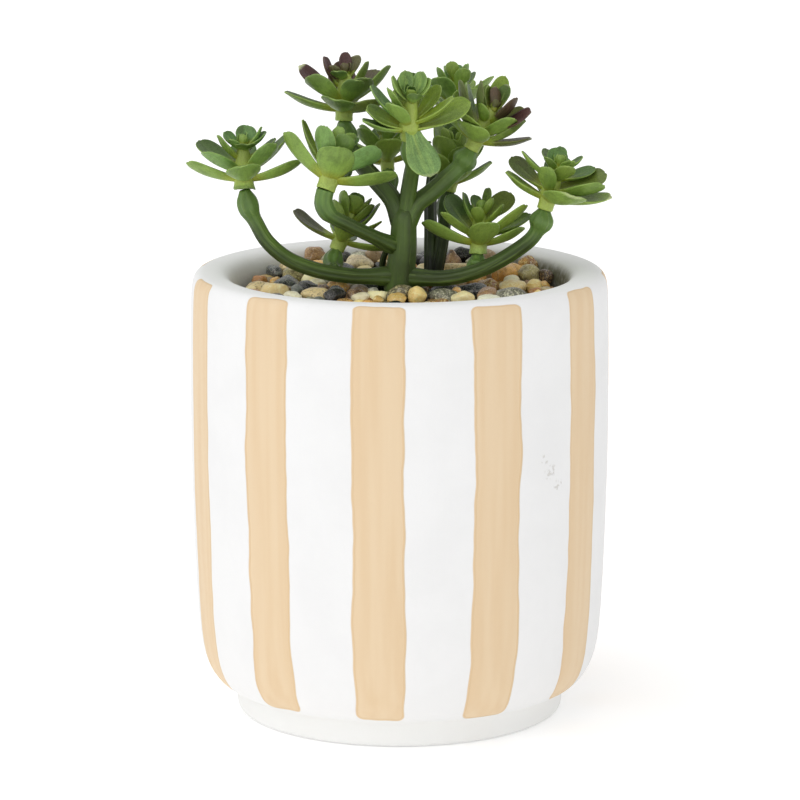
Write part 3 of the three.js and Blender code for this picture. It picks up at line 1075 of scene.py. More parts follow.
@dataclass
class Pot:
    """The cast pot: narrower foot, rounded bottom edge, nearly straight wall, broad soft rim.

    Attributes:
        height: From the foot to the rim.
        radius: At its widest.
        foot_radius: Of the foot's outer edge.
        floor: The height of the cavity's floor.
        cavity: The radius of the cavity.
        steps: How many steps the spin takes.
        finish: What it is made of.
    """

    height: float = 111.0
    radius: float = 52.0
    foot_radius: float = 40.8
    floor: float = 9.0
    cavity: float = 41.0
    steps: int = 72
    finish: PotFinish = field(default_factory=PotFinish)

    def profile(self) -> list[tuple[float, float]]:
        """Lists the wall's corners.

        Returns:
            Radius and height of each, from the middle of the foot to the cavity's floor.
        """
        top, foot, wide = self.height, self.foot_radius, self.radius
        outside = [
            (0, 0.25), (foot - 8, 0.25), (foot - 5, 0.0), (foot - 1.2, 0), (foot - 0.15, 0.5),
            (foot + 0.1, 1.6), (foot + 0.25, 4.4), (foot + 0.4, 6.3), (foot + 0.9, 7.0),
            (43.6, 7.15), (45.1, 7.95), (46.7, 9.5), (48.15, 11.8), (49.4, 15.2), (50.3, 20.4),
            (51.0, 32), (51.6, 50), (wide, 66), (wide, 86), (51.8, 100), (51.65, top - 5),
            (51.35, top - 2.4), (50.75, top - 1.0), (49.8, top - 0.25), (48.6, top),
        ]
        inside = [
            (46.6, top - 0.02), (44.9, top - 0.12), (43.6, top - 0.5), (42.5, top - 1.3),
            (41.75, top - 2.5), (41.25, top - 4.2), (self.cavity, top - 7), (self.cavity, 60),
            (self.cavity, self.floor + 9), (40.4, self.floor + 5), (38.4, self.floor + 2.2),
            (35, self.floor + 0.3), (30, self.floor), (0, self.floor),
        ]
        return outside + inside

    def build(self) -> None:
        """Spins the wall, softens it and dresses it."""
        pot = Bench.spun("pot_body", self.profile(), self.steps)
        Bench.smoothed(pot, 1)
        pot.data.materials.append(self.finish.material())
        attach(pot, "root")
        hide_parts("pot")
        log.info("%s: %d faces", pot.name, len(pot.data.polygons))


# ---------------------------------------------------------------------------------- pebbles


@dataclass(frozen=True)
class Pebble:
    """One pebble of the bed.

    Attributes:
        x: Where its middle lies.
        y: The same, towards the back.
        half: Half its size along its own axes.
        kind: What stone it is.
        turn: How far its length is turned from X.
        lift: How far above the usual it lies.
    """

    x: float
    y: float
    half: Point
    kind: Stone
    turn: float = 0.0
    lift: float = 0.0


SHOWN_PEBBLES: tuple[Pebble, ...] = (
    Pebble(-26.8, 16.1, (3.3, 2.7, 2.6), Stone.OLIVE, 20, 0.6),
    Pebble(-22.4, 13.0, (2.7, 2.3, 1.7), Stone.CREAM, 160, 0.2),
    Pebble(-22.6, 3.6, (3.6, 2.5, 2.2), Stone.BLACK, 170),
    Pebble(-20.4, -4.4, (4.2, 3.0, 2.1), Stone.TAN, 0),
    Pebble(-15.3, 3.2, (3.9, 3.2, 3.1), Stone.AMBER, 150, 0.5),
    Pebble(-10.6, 0.6, (3.2, 2.3, 1.9), Stone.PINK, 165),
    Pebble(-7.6, 4.9, (2.5, 1.8, 1.6), Stone.SLATE, 10),
    Pebble(-5.4, -5.6, (3.8, 2.8, 2.7), Stone.CREAM, 10, 1.0),
    Pebble(-9.6, -8.2, (2.6, 2.2, 1.7), Stone.WHITE, 0, -0.2),
    Pebble(0.2, -7.0, (4.1, 2.7, 2.4), Stone.OLIVE, 5, 0.6),
    Pebble(-0.6, -11.8, (2.5, 2.3, 1.8), Stone.YELLOW, 30, 0.2),
    Pebble(4.4, -9.6, (2.9, 2.5, 2.4), Stone.YELLOW, 70, 0.8),
    Pebble(10.9, -5.8, (4.0, 3.0, 2.3), Stone.GREY, 175, 0.4),
    Pebble(18.5, 0.2, (4.9, 2.7, 2.3), Stone.SLATE, 175),
    Pebble(15.6, -10.6, (3.1, 2.3, 1.9), Stone.CREAM, 0, 0.2),
    Pebble(21.4, -5.2, (3.2, 2.5, 2.4), Stone.BROWN, 60, 0.2),
    Pebble(26.3, 14.4, (3.9, 2.6, 3.0), Stone.ORANGE, 25, 1.0),
    Pebble(28.2, 1.2, (3.9, 2.8, 2.6), Stone.CREAM, 10, 0.6),
    Pebble(27.4, -5.8, (4.7, 3.0, 1.9), Stone.GREY, 10),
    Pebble(33.2, 4.4, (2.6, 2.4, 2.3), Stone.YELLOW, 80, 0.2),
    Pebble(32.3, 15.6, (3.6, 3.1, 2.7), Stone.OLIVE, 130, 0.6),
    Pebble(32.6, 23.6, (3.0, 2.5, 2.5), Stone.AMBER, 40, 0.8),
    Pebble(36.6, 14.6, (2.2, 1.9, 2.2), Stone.BROWN, 0, 0.4),
    Pebble(-21.6, 31.6, (3.1, 2.5, 2.6), Stone.BROWN, 20, 1.2),
    Pebble(-18.0, 30.6, (2.8, 2.3, 2.2), Stone.GREY, 80, 0.3),
    Pebble(-14.0, 34.4, (2.1, 1.8, 1.7), Stone.BLACK, 0, 0.2),
    Pebble(-10.6, 33.4, (2.5, 2.2, 2.1), Stone.GREY, 40, 0.4),
    Pebble(-6.4, 34.0, (3.2, 2.6, 2.7), Stone.PINK, 10, 0.3),
    Pebble(13.4, 30.0, (3.0, 2.3, 2.8), Stone.BROWN, 80, 0.2),
    Pebble(16.2, 34.4, (2.6, 2.3, 2.3), Stone.BLACK, 0, 1.0),
    Pebble(22.6, 31.6, (3.0, 2.5, 2.2), Stone.PINK, 150, 0.8),
    Pebble(-31.4, 20.4, (3.0, 2.3, 1.8), Stone.SLATE, 120),
    Pebble(-35.0, 13.0, (2.1, 1.7, 1.6), Stone.ORANGE, 20),
)


# how often each kind is drawn
MIX: dict[Stone, int] = {
    Stone.CREAM: 3, Stone.YELLOW: 3, Stone.AMBER: 3, Stone.TAN: 5, Stone.PINK: 2, Stone.SLATE: 3,
    Stone.BLACK: 3, Stone.GREY: 3, Stone.WHITE: 2, Stone.BROWN: 4, Stone.ORANGE: 3, Stone.OLIVE: 3,
}
# a turn by this many radians from pebble to pebble spreads them evenly over a disc
GOLDEN_TURN = 2.39996


@dataclass
class PebbleBed:
    """Mixed gravel heaped a little towards the back, over dark grit that is partly painted shade for the
    gaps.

    Attributes:
        top: The height of the bonded bed.
        radius: How far the bed reaches.
        heap: How much higher it lies at the back.
        count: How many pebbles are tried beside those that are given.
        largest: The half length of the first of them.
        smallest: The half length of the last of them.
        shapes: How many pebble shapes are modelled.
        proud: How far the middles of the upper layer lie above the bed.
        under: How many small pebbles fill the gaps under it.
        under_reach: How far from the middle those lie.
        under_size: The range of their half lengths.
        under_deep: How far below the bed their middles lie.
        under_shade: How shaded they are, from 0 to 1.
        ground_foot: The height of the grit's underside.
        ground_deep: How far below the bed the grit's surface lies.
        grit: What the grit is made of, its darkness partly painted shade.
        dice: What draws the irregularities.
    """

    top: float = 105.0
    radius: float = 40.4
    heap: float = 2.4
    count: int = 900
    largest: float = 4.3
    smallest: float = 2.0
    shapes: int = 8
    proud: float = 0.4
    under: int = 230
    under_reach: float = 39.4
    under_size: tuple[float, float] = (1.5, 2.5)
    under_deep: float = 1.1
    under_shade: float = 0.5
    ground_foot: float = 100.6
    ground_deep: float = 1.2
    grit: GritAndGapShadeFinish = field(default_factory=GritAndGapShadeFinish)
    dice: random.Random = field(default_factory=lambda: random.Random(11))

    def level(self, y: float) -> float:
        """The height of the bed at a place, which is negative in front of the middle."""
        return self.top + self.heap * eased(y, 4, 34)

    def shape(self, number: int, fine: bool) -> Piece:
        """Models one pebble about 1 in radius.

        Args:
            number: Which shape it is; each is dented in its own way.
            fine: Whether it is rounded further, as the upper layer is.

        Returns:
            The pebble, to copy from.
        """
        Bench.clear()
        bpy.ops.mesh.primitive_ico_sphere_add(subdivisions=2, radius=1.0)
        pebble = Bench.taken(f"pebble_shape_{number}")
        Bench.mode("EDIT")
        bpy.ops.mesh.select_all(action="SELECT")
        bpy.ops.transform.vertex_random(offset=0.25, uniform=0.35, normal=0.6, seed=number + 3)
        flat = number % 3
        if flat:
            slant = Vector((0.4 * flat, 0.7 - 0.5 * flat, 1.0)).normalized()
            bpy.ops.mesh.bisect(
                plane_co=slant * 0.62, plane_no=slant, use_fill=True, clear_outer=True
            )
            bpy.ops.mesh.select_all(action="SELECT")
            bpy.ops.mesh.quads_convert_to_tris()
        Bench.mode("OBJECT")
        if fine:
            Bench.smoothed(pebble, 1)
        else:
            bpy.ops.object.shade_smooth()
        return pebble

    def laid(self, shape: Piece, pebble: Pebble, height: float, deep: float) -> Piece:
        """Lays a copy of a shape as one pebble of the bed.

        Args:
            shape: The shape to copy.
            pebble: Where it lies, its size and kind.
            height: The height of its middle.
            deep: How shaded it is, from 0 to 1.

        Returns:
            The pebble.
        """
        roll = Matrix.Rotation(self.dice.uniform(0, TURN), 4, "X")
        yaw = Matrix.Rotation(self.dice.uniform(0, TURN), 4, "Z")
        sized = Matrix.Diagonal((*(half * MM for half in pebble.half), 1.0))
        tip = Matrix.Rotation(self.dice.uniform(-0.22, 0.22), 4, "X")
        turn = Matrix.Rotation(math.radians(pebble.turn), 4, "Z")
        place = Matrix.Translation(Vector((pebble.x, pebble.y, height)) * MM)
        stone = Bench.copy_of(shape, place @ turn @ tip @ sized @ roll @ yaw)
        own = (self.dice.uniform(-1, 1), deep, 0.0)
        Bench.label(stone, "stone", [own] * len(stone.data.vertices))
        stone.data.materials.append(bpy.data.materials[f"pebble_{pebble.kind.value}"])
        return stone

    def drawn_kind(self) -> Stone:
        """A kind of pebble, the warm ones more often."""
        return self.dice.choice([kind for kind, often in MIX.items() for _ in range(often)])

    def scattered(self, stems: "Stems") -> list[Pebble]:
        """Finds room for pebbles between those that are given.

        Args:
            stems: What stands in the bed, which pebbles keep clear of.

        Returns:
            Every pebble of the upper layer.
        """
        laid = list(SHOWN_PEBBLES)
        for attempt in range(self.count):
            length = lerp(self.largest, self.smallest, min(1.0, attempt / (self.count * 0.7)))
            length *= self.dice.uniform(0.9, 1.1)
            wide, tall = self.dice.uniform(0.7, 0.9), self.dice.uniform(0.55, 0.72)
            half = (length, length * wide, length * tall)
            reach = (self.radius - length) * math.sqrt(self.dice.random())
            angle = self.dice.uniform(0, TURN)
            x, y = reach * math.cos(angle), reach * math.sin(angle)
            clear = all(
                math.hypot(x - other.x, y - other.y) > 0.4 * (sum(half[:2]) + sum(other.half[:2]))
                for other in laid
            )
            if clear and not stems.stands_at(x, y, half[1] * 0.8):
                kind, turn = self.drawn_kind(), self.dice.uniform(0, 180)
                # in front the bed lies lower, so that the rim hides more of it
                sunk = 1.3 * eased(-y, 7, 12)
                laid.append(Pebble(x, y, half, kind, turn, self.dice.uniform(-0.3, 0.5) - sunk))
        return laid

    def build(self, stems: "Stems") -> None:
        """Lays the bed.

        Args:
            stems: What stands in the bed.
        """
        for kind, finish in STONES.items():
            finish.material(f"pebble_{kind.value}")
        shapes = [self.shape(number, True) for number in range(self.shapes)]
        plain = [self.shape(number, False) for number in range(self.shapes)]
        pieces = [self.ground()]
        laid = self.scattered(stems)
        for number, pebble in enumerate(laid):
            height = self.level(pebble.y) + self.proud + pebble.lift
            height = min(height, stems.ceiling(pebble) - pebble.half[2])
            pieces.append(self.laid(shapes[number % self.shapes], pebble, height, 0.0))
        for number in range(self.under):
            angle = number * GOLDEN_TURN
            reach = self.under_reach * math.sqrt((number + 0.5) / self.under)
            length = self.dice.uniform(*self.under_size)
            half = (length, length * 0.8, length * 0.65)
            x, y = reach * math.cos(angle), reach * math.sin(angle)
            low = Pebble(x, y, half, self.drawn_kind(), self.dice.uniform(0, 180))
            height = min(self.level(y) - self.under_deep, stems.ceiling(low) - half[2])
            pieces.append(self.laid(plain[number % self.shapes], low, height, self.under_shade))
        Bench.scrap(shapes + plain)
        bed = Bench.joined("pebbles", pieces)
        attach(bed, "root")
        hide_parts("pebble_bed")
        log.info("%s: %d in the upper layer, %d faces", bed.name, len(laid), len(bed.data.polygons))

    def ground(self) -> Piece:
        """Models the grit that the pebbles are sunk in, and raises it towards the back.

        Returns:
            The layer of grit.
        """
        low, rim, top = self.ground_foot, self.radius + 0.2, self.top - self.ground_deep
        profile = [
            (0, low), (rim - 0.4, low), (rim, low + 0.4), (rim, top - 0.4),
            (rim - 0.6, top), (30, top), (15, top), (0, top),
        ]
        ground = Bench.spun("bed_ground", profile, 64)
        lifted: dict[float, list[int]] = {}
        for vertex in ground.data.vertices:
            if vertex.co.z / MM > top - 0.8:
                lift = round(self.level(vertex.co.y / MM) - self.top, 4)
                lifted.setdefault(lift, []).append(vertex.index)
        Bench.only(ground)
        Bench.mode("EDIT")
        for lift, numbers in lifted.items():
            Bench.pick(ground, numbers)
            bpy.ops.transform.translate(value=(0, 0, lift * MM))
        Bench.mode("OBJECT")
        bpy.ops.object.shade_smooth()
        # the dark grit is partly painted shade for the gaps between the pebbles
        ground.data.materials.append(self.grit.material())
        Bench.label(ground, "stone", [(0.0, 0.0, 0.0)] * len(ground.data.vertices))
        return ground


# ------------------------------------------------------------------ what the rosettes are like


@dataclass(frozen=True)
class Leaf:
    """One leaf of a rosette.

    Attributes:
        whorl: The ring that it grows from, 0 for the lowest.
        bearing: The way it points, 0 for the right and 90 for the back.
        reach: The distance from its root to its tip.
        rise: How steeply its tip lies above its root.
        width: At its widest, or 0 for the ring's own.
        twist: How far its tip is turned about its length.
        blush: How purple it is, from 0 to 1.
        tint: From 0 for a blueish green to 1 for a yellow one, 2 for a pale leaf, or -1 to draw it.
        lip: How pale its tip is, from 0 to 1, or how dark its outer half is, from 0 to -1.
        stout: How much wider its root half is than usual, as a share.
    """

    whorl: int
    bearing: float
    reach: float
    rise: float
    width: float = 0.0
    twist: float = 0.0
    blush: float = 0.0
    tint: float = -1.0
    lip: float = 0.0
    stout: float = 0.0


@dataclass(frozen=True)
class Ring:
    """What the leaves of one ring have in common.

    Attributes:
        leaves: How many it has when they aren't given one by one.
        turn: How far it is turned.
        lift: How far above the neck it sits.
        reach: Of a leaf, from root to tip.
        width: Of a leaf.
        thick: Of a leaf, at its middle.
        rise: How steeply a leaf's tip lies above its root.
        curve: How much steeper a leaf rises at its tip than at its root.
    """

    leaves: int
    turn: float
    lift: float
    reach: float
    width: float
    thick: float
    rise: float
    curve: float


RINGS: tuple[Ring, ...] = (
    Ring(4, 0, 0.0, 13.6, 8.2, 1.15, 18, 26),
    Ring(4, 45, 2.0, 13.0, 7.2, 1.1, 32, 26),
    Ring(4, 8, 5.2, 8.0, 5.0, 1.0, 46, 34),
    Ring(4, 50, 7.8, 5.9, 4.4, 0.9, 62, 32),
    Ring(3, 20, 8.3, 2.8, 2.3, 0.7, 84, 12),
)


@dataclass(frozen=True)
class Rosette:
    """Where a rosette's neck sits, which way it points, its size and its leaves.

    Attributes:
        name: The CAD node's place name.
        seat: The middle of the neck's lower end.
        axis: The direction that the rosette points.
        size: Its scale.
        turn: How far rings without given leaves are turned.
        leaves: The leaves that are given one by one.
        purple: Whether the CAD counts it as purple.
        sleeve: How far the neck's lower lip stands out, from 0 to 1.
        bulb: How far the knuckle under it swells, as a share of the usual.
        waist: The stem's radius just under the neck.
        girth: How thick the neck is, as a share of the usual.
        ball: Whether the knuckle under it is a round ball.
    """

    name: str
    seat: Point
    axis: Point
    size: float
    turn: float
    leaves: tuple[Leaf, ...] = ()
    purple: bool = False
    sleeve: float = 0.0
    bulb: float = 1.0
    waist: float = 1.5
    girth: float = 1.0
    ball: bool = False


FAR_LEFT = Rosette(
    "far_left", (-38.2, -2, 130.9), (-0.03, 0.2, 1), 0.97, 0, sleeve=1.0, waist=1.4,
    leaves=(
        Leaf(0, 184, 13.4, 18, 6.8, -5, tint=0.6, stout=0.1),
        Leaf(0, 356, 13.4, 16, 6.8, 5, tint=0.55, stout=0.1),
        Leaf(0, 274, 11.5, 12, 8.8, tint=0.3, stout=0.3), Leaf(0, 92, 13.4, 18),
        Leaf(1, 222, 12.2, 21, 7.2, tint=0.15, stout=0.1),
        Leaf(1, 150, 13.8, 36, 8.6, 16, tint=0.5, lip=-0.5),
        Leaf(1, 322, 10.7, 35, 6.8, tint=0.25, stout=0.1),
        Leaf(1, 22, 14.4, 40, 6.6, tint=0.45, lip=-0.2, stout=0.1), Leaf(1, 92, 12.5, 38),
        Leaf(2, 196, 7.8, 46, 3.6, tint=0.6, lip=-0.3), Leaf(2, 20, 8.9, 32, 4.2, tint=0.5, lip=-0.3),
        Leaf(2, 95, 7.7, 51, 5), Leaf(3, 155, 5.6, 48, 4.4, 10, tint=0.1),
        Leaf(3, 77, 5.8, 74, 5.2, tint=0.1), Leaf(3, 20, 6.5, 37, 4.2, tint=0.1),
        Leaf(3, 14, 6.6, 50, 2.6, tint=0.2), Leaf(3, 286, 3.6, 8, 5.4, tint=0.4, lip=-0.8, stout=0.3),
        Leaf(3, 229, 4.2, 26, 3.6, tint=0.2, lip=-0.3),
    ),
)
FAR_RIGHT = Rosette(
    "far_right", (35.6, -4, 126.5), (0.3, 0.05, 1), 0.98, 14, ball=True,
    leaves=(
        Leaf(0, 296, 11.4, 16, 10.4, 2, tint=0.6, lip=0.5, stout=0.4),
        Leaf(0, 356, 14.4, 20, 8.0, -14, tint=0.82, lip=0.8, stout=0.2),
        Leaf(0, 187, 11.1, 17, 6.6, 8, tint=0.78), Leaf(0, 92, 13.5, 18),
        Leaf(1, 335, 13.0, 24, 6.4, 10, tint=0.65, stout=0.1),
        Leaf(1, 18, 13.5, 36, 7.6, -16, blush=0.25, tint=0.82, lip=-0.4, stout=0.1),
        Leaf(1, 252, 10.0, 36, 4.7, tint=0.6, stout=0.4),
        Leaf(1, 155, 12.0, 24, 5.4, 20, blush=0.35, tint=0.6), Leaf(1, 85, 12.5, 40),
        Leaf(2, 290, 8.2, 32, 5, blush=0.1, tint=0.87, lip=-0.2, stout=0.3),
        Leaf(2, 190, 9.7, 25, 4, tint=0.56), Leaf(2, 26, 10.2, 29, 5, tint=0.3),
        Leaf(2, 100, 8.2, 58, 5.4, tint=0.21), Leaf(3, 118, 7.2, 26, 4.8, blush=0.25, tint=0.21, lip=-0.3),
        Leaf(3, 90, 7.4, 40, 3.4, tint=0.21), Leaf(3, 12, 6.3, 44, 3.4, tint=0.38),
        Leaf(3, 314, 4.8, 38, 3.8, tint=0.65, lip=-0.2),
        Leaf(3, 228, 5.0, 24, 3.4, blush=0.1, tint=0.3, lip=-0.3),
    ),
)
MID_LEFT = Rosette(
    "mid_left", (-18.2, -10, 132.2), (0.38, 0.3, 1), 0.97, 2,
    sleeve=0.2, bulb=0.84, waist=2.3, girth=1.12,
    leaves=(
        Leaf(0, 276, 10.0, 46, 9.4, tint=0.4, stout=0.45),
        Leaf(0, 356, 15.6, 25, 8.0, 13, tint=0.6, stout=0.3),
        Leaf(0, 196, 14.8, 27.7, 7.4, -12, tint=0.45, lip=-0.2, stout=0.2), Leaf(0, 88, 13.5, 24),
        Leaf(1, 150, 15.4, 42, 3.0, blush=0.1, tint=0.8, lip=-0.4),
        Leaf(1, 232, 12.0, 48.2, 7.0, tint=0.15, stout=0.2),
        Leaf(1, 325, 13.1, 40.7, 7.6, tint=0.0), Leaf(1, 128, 15.0, 30, 5), Leaf(1, 50, 12.0, 42, 6),
        Leaf(2, 275, 7.2, 56, 5.4), Leaf(2, 185, 7.8, 59, 4.6), Leaf(2, 95, 7.7, 51), Leaf(2, 5, 7.9, 46),
        Leaf(3, 225, 5.4, 70, 4.6), Leaf(3, 135, 5.4, 65, 4.6), Leaf(3, 45, 5.5, 60, 4.6),
        Leaf(3, 315, 5.2, 64, 4.6),
    ),
)
LOW_LEFT = Rosette(
    "low_left", (-15.8, 7, 114.5), (0.42, 0.2, 1), 0.94, -12,
    leaves=(
        Leaf(0, 184, 13.1, 10, 7.6, 24, blush=0.6, tint=0.45, lip=-0.1, stout=0.2),
        Leaf(0, 0, 13.0, 14, 6.4, 10, tint=0.9), Leaf(0, 272, 9.0, 30, 5.4, tint=0.9, stout=0.2),
        Leaf(0, 92, 13.4, 18), Leaf(1, 354, 9.5, 42, 3.8, tint=1, stout=0.1),
        Leaf(1, 128, 11.0, 62, 3.6, blush=0.1, tint=0.6, lip=-0.3),
        Leaf(1, 14, 11.5, 66, 5, blush=0.1, tint=0.4, lip=-0.4), Leaf(1, 90, 12, 40),
        Leaf(1, 228, 9.4, 46, 6.0, tint=0.8, lip=-0.2),
        Leaf(2, 227, 8.4, 54, 4.4, tint=0.75, lip=-0.25, stout=0.1),
        Leaf(2, 346, 7.4, 60, 5.6, blush=0.1, tint=0.8, lip=-0.3, stout=0.2), Leaf(2, 92, 7.2, 70, 5.2),
        Leaf(3, 268, 6.2, 42, 4.6, tint=0.8, lip=-0.25, stout=0.1),
        Leaf(3, 96, 6.2, 58, 4.4, blush=0.1, tint=0.6, lip=-0.2, stout=0.1),
        Leaf(3, 18, 6.0, 62, 4.2, blush=0.15, tint=0.7, lip=-0.4),
        Leaf(3, 310, 4.8, 44, 3.6, blush=0.1, tint=0.9, lip=-0.2, stout=0.2),
    ),
)
LOW_RIGHT = Rosette(
    "low_right", (19.4, 0.4, 114.6), (0.05, 0.15, 1), 0.93, 6, sleeve=0.5,
    leaves=(
        Leaf(0, 187, 14.4, 19, 7.6, -24, tint=0.62, lip=-0.2, stout=0.2),
        Leaf(0, 356, 11.3, 23, 6.6, 5, tint=0.79, stout=0.1),
        Leaf(0, 280, 11.0, 30, 7.9, tint=0.74, stout=0.5), Leaf(0, 92, 13.4, 18),
        Leaf(1, 215, 12.6, 26, 4.8, tint=0.74), Leaf(1, 150, 12.7, 54, 8.6, 20, tint=0.41, lip=-0.5),
        Leaf(1, 335, 14.5, 36, 4.8, 12, tint=0.96),
        Leaf(1, 16, 14.0, 26, 6.8, -18, tint=0.75, lip=-0.3), Leaf(1, 92, 12.0, 40),
        Leaf(2, 50, 12.1, 45, 7.2, -10, blush=0.3, tint=0.96, lip=-0.2),
        Leaf(2, 165, 8.5, 65, 4.2, tint=0.32, lip=-0.6), Leaf(2, 340, 7.5, 44, 4, tint=1),
        Leaf(2, 262, 6.2, 42, 3.6, tint=1),
        Leaf(3, 41, 7.0, 74, 3.2, blush=0.1, tint=0.66, lip=-0.2),
        Leaf(3, 112, 6.0, 50, 3.6, tint=0.49, lip=-0.4), Leaf(3, 326, 5.0, 54, 3.4, blush=0.1, tint=0.83),
    ),
)
TOP_LEFT = Rosette(
    "top_left", (-13.8, 8, 146.7), (0.04, 0.12, 1), 1, -8, purple=True, sleeve=0.2,
    leaves=(
        Leaf(0, 184, 13.7, 15, 6.4, -3, blush=0.1, tint=0.5, stout=0.1),
        Leaf(0, 260, 11.0, 12, 8.8, tint=0.4, lip=-0.7, stout=0.35),
        Leaf(0, 310, 12.0, 12, 7.8, blush=0.45, tint=0.8, stout=0.2), Leaf(0, 92, 13.4, 18, blush=0.3),
        Leaf(1, 205, 10.3, 33, 8.6, -10, tint=0.4, lip=-0.6, stout=0.2),
        Leaf(1, 160, 13.0, 40, 6.4, 24, blush=1, tint=0.3, lip=1),
        Leaf(1, 283, 10.4, 30, 5.6, tint=0.35, lip=-0.8, stout=0.2),
        Leaf(1, 300, 10.8, 32, 6.4, blush=0.15, tint=0.35, lip=-0.8, stout=0.2),
        Leaf(1, 46, 12.0, 40, 8, blush=0.7, tint=0.7),
        Leaf(1, 345, 13.2, 43, 4.8, blush=0.1, tint=0.4, lip=-0.6), Leaf(1, 95, 12.4, 42, blush=0.9),
        Leaf(2, 165, 8.5, 58, 4.8, 14, blush=1, tint=0.3),
        Leaf(2, 345, 7.9, 55, 3.8, blush=0.2, tint=0.7, lip=-0.5), Leaf(2, 92, 7.8, 57, 5.0, blush=0.9),
        Leaf(3, 94, 6.4, 68, 3, blush=1, tint=0.3),
        Leaf(3, 50, 6.4, 56, 4.8, blush=0.7, tint=0.7, lip=0.4),
        Leaf(3, 240, 4.2, 18, 4.4, tint=0.3, lip=-0.9, stout=0.3),
        Leaf(3, 218, 4.6, 34, 3.6, blush=0.9, tint=0.3),
    ),
)
TOP_CENTRE = Rosette(
    "top_centre", (2.1, -6, 144.2), (0.06, -0.34, 1), 0.97, 14,
    leaves=(
        Leaf(0, 302, 12.8, -40, 9.2, tint=2, lip=0.4, stout=0.15),
        Leaf(0, 186, 10.9, 29, 8.2, 10, tint=0.8, stout=0.1), Leaf(0, 203, 12.1, 20, 5.4, -10, tint=0.3),
        Leaf(0, 10, 15.3, 28, 7.4, -4, tint=0.85, stout=0.1), Leaf(0, 92, 13.5, 24),
        Leaf(1, 238, 10.4, 48, 6.6, tint=0.35, stout=0.2), Leaf(1, 165, 12.0, 39, 5, tint=0.15, lip=-0.3),
        Leaf(1, 345, 12.6, 41, 5.2, -10, tint=1), Leaf(1, 30, 10.8, 50, 4.6, tint=1),
        Leaf(1, 92, 12.2, 46), Leaf(2, 196, 7.8, 51, 6.0, -10, tint=0.4), Leaf(2, 92, 7.8, 59),
        Leaf(3, 184, 7.6, 56, 5.0, 12, tint=1.5), Leaf(3, 124, 7.0, 64, 4.8, tint=1.6, lip=0.2),
        Leaf(3, 44, 7.2, 62, 5.0, tint=1.6, lip=0.2), Leaf(3, 12, 6.8, 56, 4.2, tint=1.5),
        Leaf(3, 290, 3.4, 58, 4.2, tint=0.35, lip=-0.7, stout=0.3),
        Leaf(4, 158, 3.4, 70, 2.8, tint=0.2, lip=-0.5),
    ),
)
TOP_RIGHT = Rosette(
    "top_right", (17.6, 4, 140.2), (0.52, 0.04, 1), 0.97, 10, purple=True, ball=True,
    leaves=(
        Leaf(0, 356, 12.5, 31, 6.6, 8, blush=0.7, tint=0.4, stout=0.1),
        Leaf(0, 256, 10.0, 20, 8.8, tint=0.65, stout=0.4), Leaf(0, 184, 12.6, 20, tint=0.5),
        Leaf(0, 92, 13.4, 20), Leaf(1, 350, 14.8, 57, 6.2, -34, blush=1, tint=0.8, stout=0.1),
        Leaf(0, 338, 13.0, 51, 4.6, blush=0.25, tint=0.6, lip=-0.5, stout=0.2),
        Leaf(1, 306, 11.2, 41, 5.4, tint=0.6, stout=0.3),
        Leaf(1, 18, 11.8, 60, 6.6, -20, blush=0.6, tint=0.9),
        Leaf(1, 236, 11.0, 16, 7.6, tint=0.9, lip=-0.3, stout=0.2),
        Leaf(1, 196, 13.4, 44, 5.6, blush=0.6, tint=0.2), Leaf(1, 92, 12.4, 40, blush=0.4),
        Leaf(1, 165, 12.0, 50, 8, tint=0.5),
        Leaf(2, 330, 9.6, 66, 5.4, -8, blush=1, tint=0.4),
        Leaf(2, 200, 10.3, 56, 4.2, blush=0.6, tint=0.2), Leaf(2, 100, 12.2, 74, 4.4, tint=0.95),
        Leaf(2, 234, 5.4, 40, 4.2, tint=0.7, stout=0.2), Leaf(2, 130, 9.2, 58, 5.0, tint=0.95),
        Leaf(3, 300, 6.6, 120, 3.6, blush=1, tint=0.3, lip=0.2),
        Leaf(3, 44, 7.8, 84, 4.2, blush=0.15, tint=0.5, lip=0.3),
        Leaf(3, 183, 5.2, 44, 3.6, blush=0.4, tint=0.3), Leaf(3, 150, 6.0, 62, 3.6, blush=0.2, tint=0.7),
    ),
)
TOP_BACK = Rosette("top_back", (14, 28, 144.8), (0.02, 0.25, 1), 0.84, 20)
INNER_BACK = Rosette("inner_back", (-2.9, 15, 133.2), (-0.1, 0.3, 1), 0.84, 10)
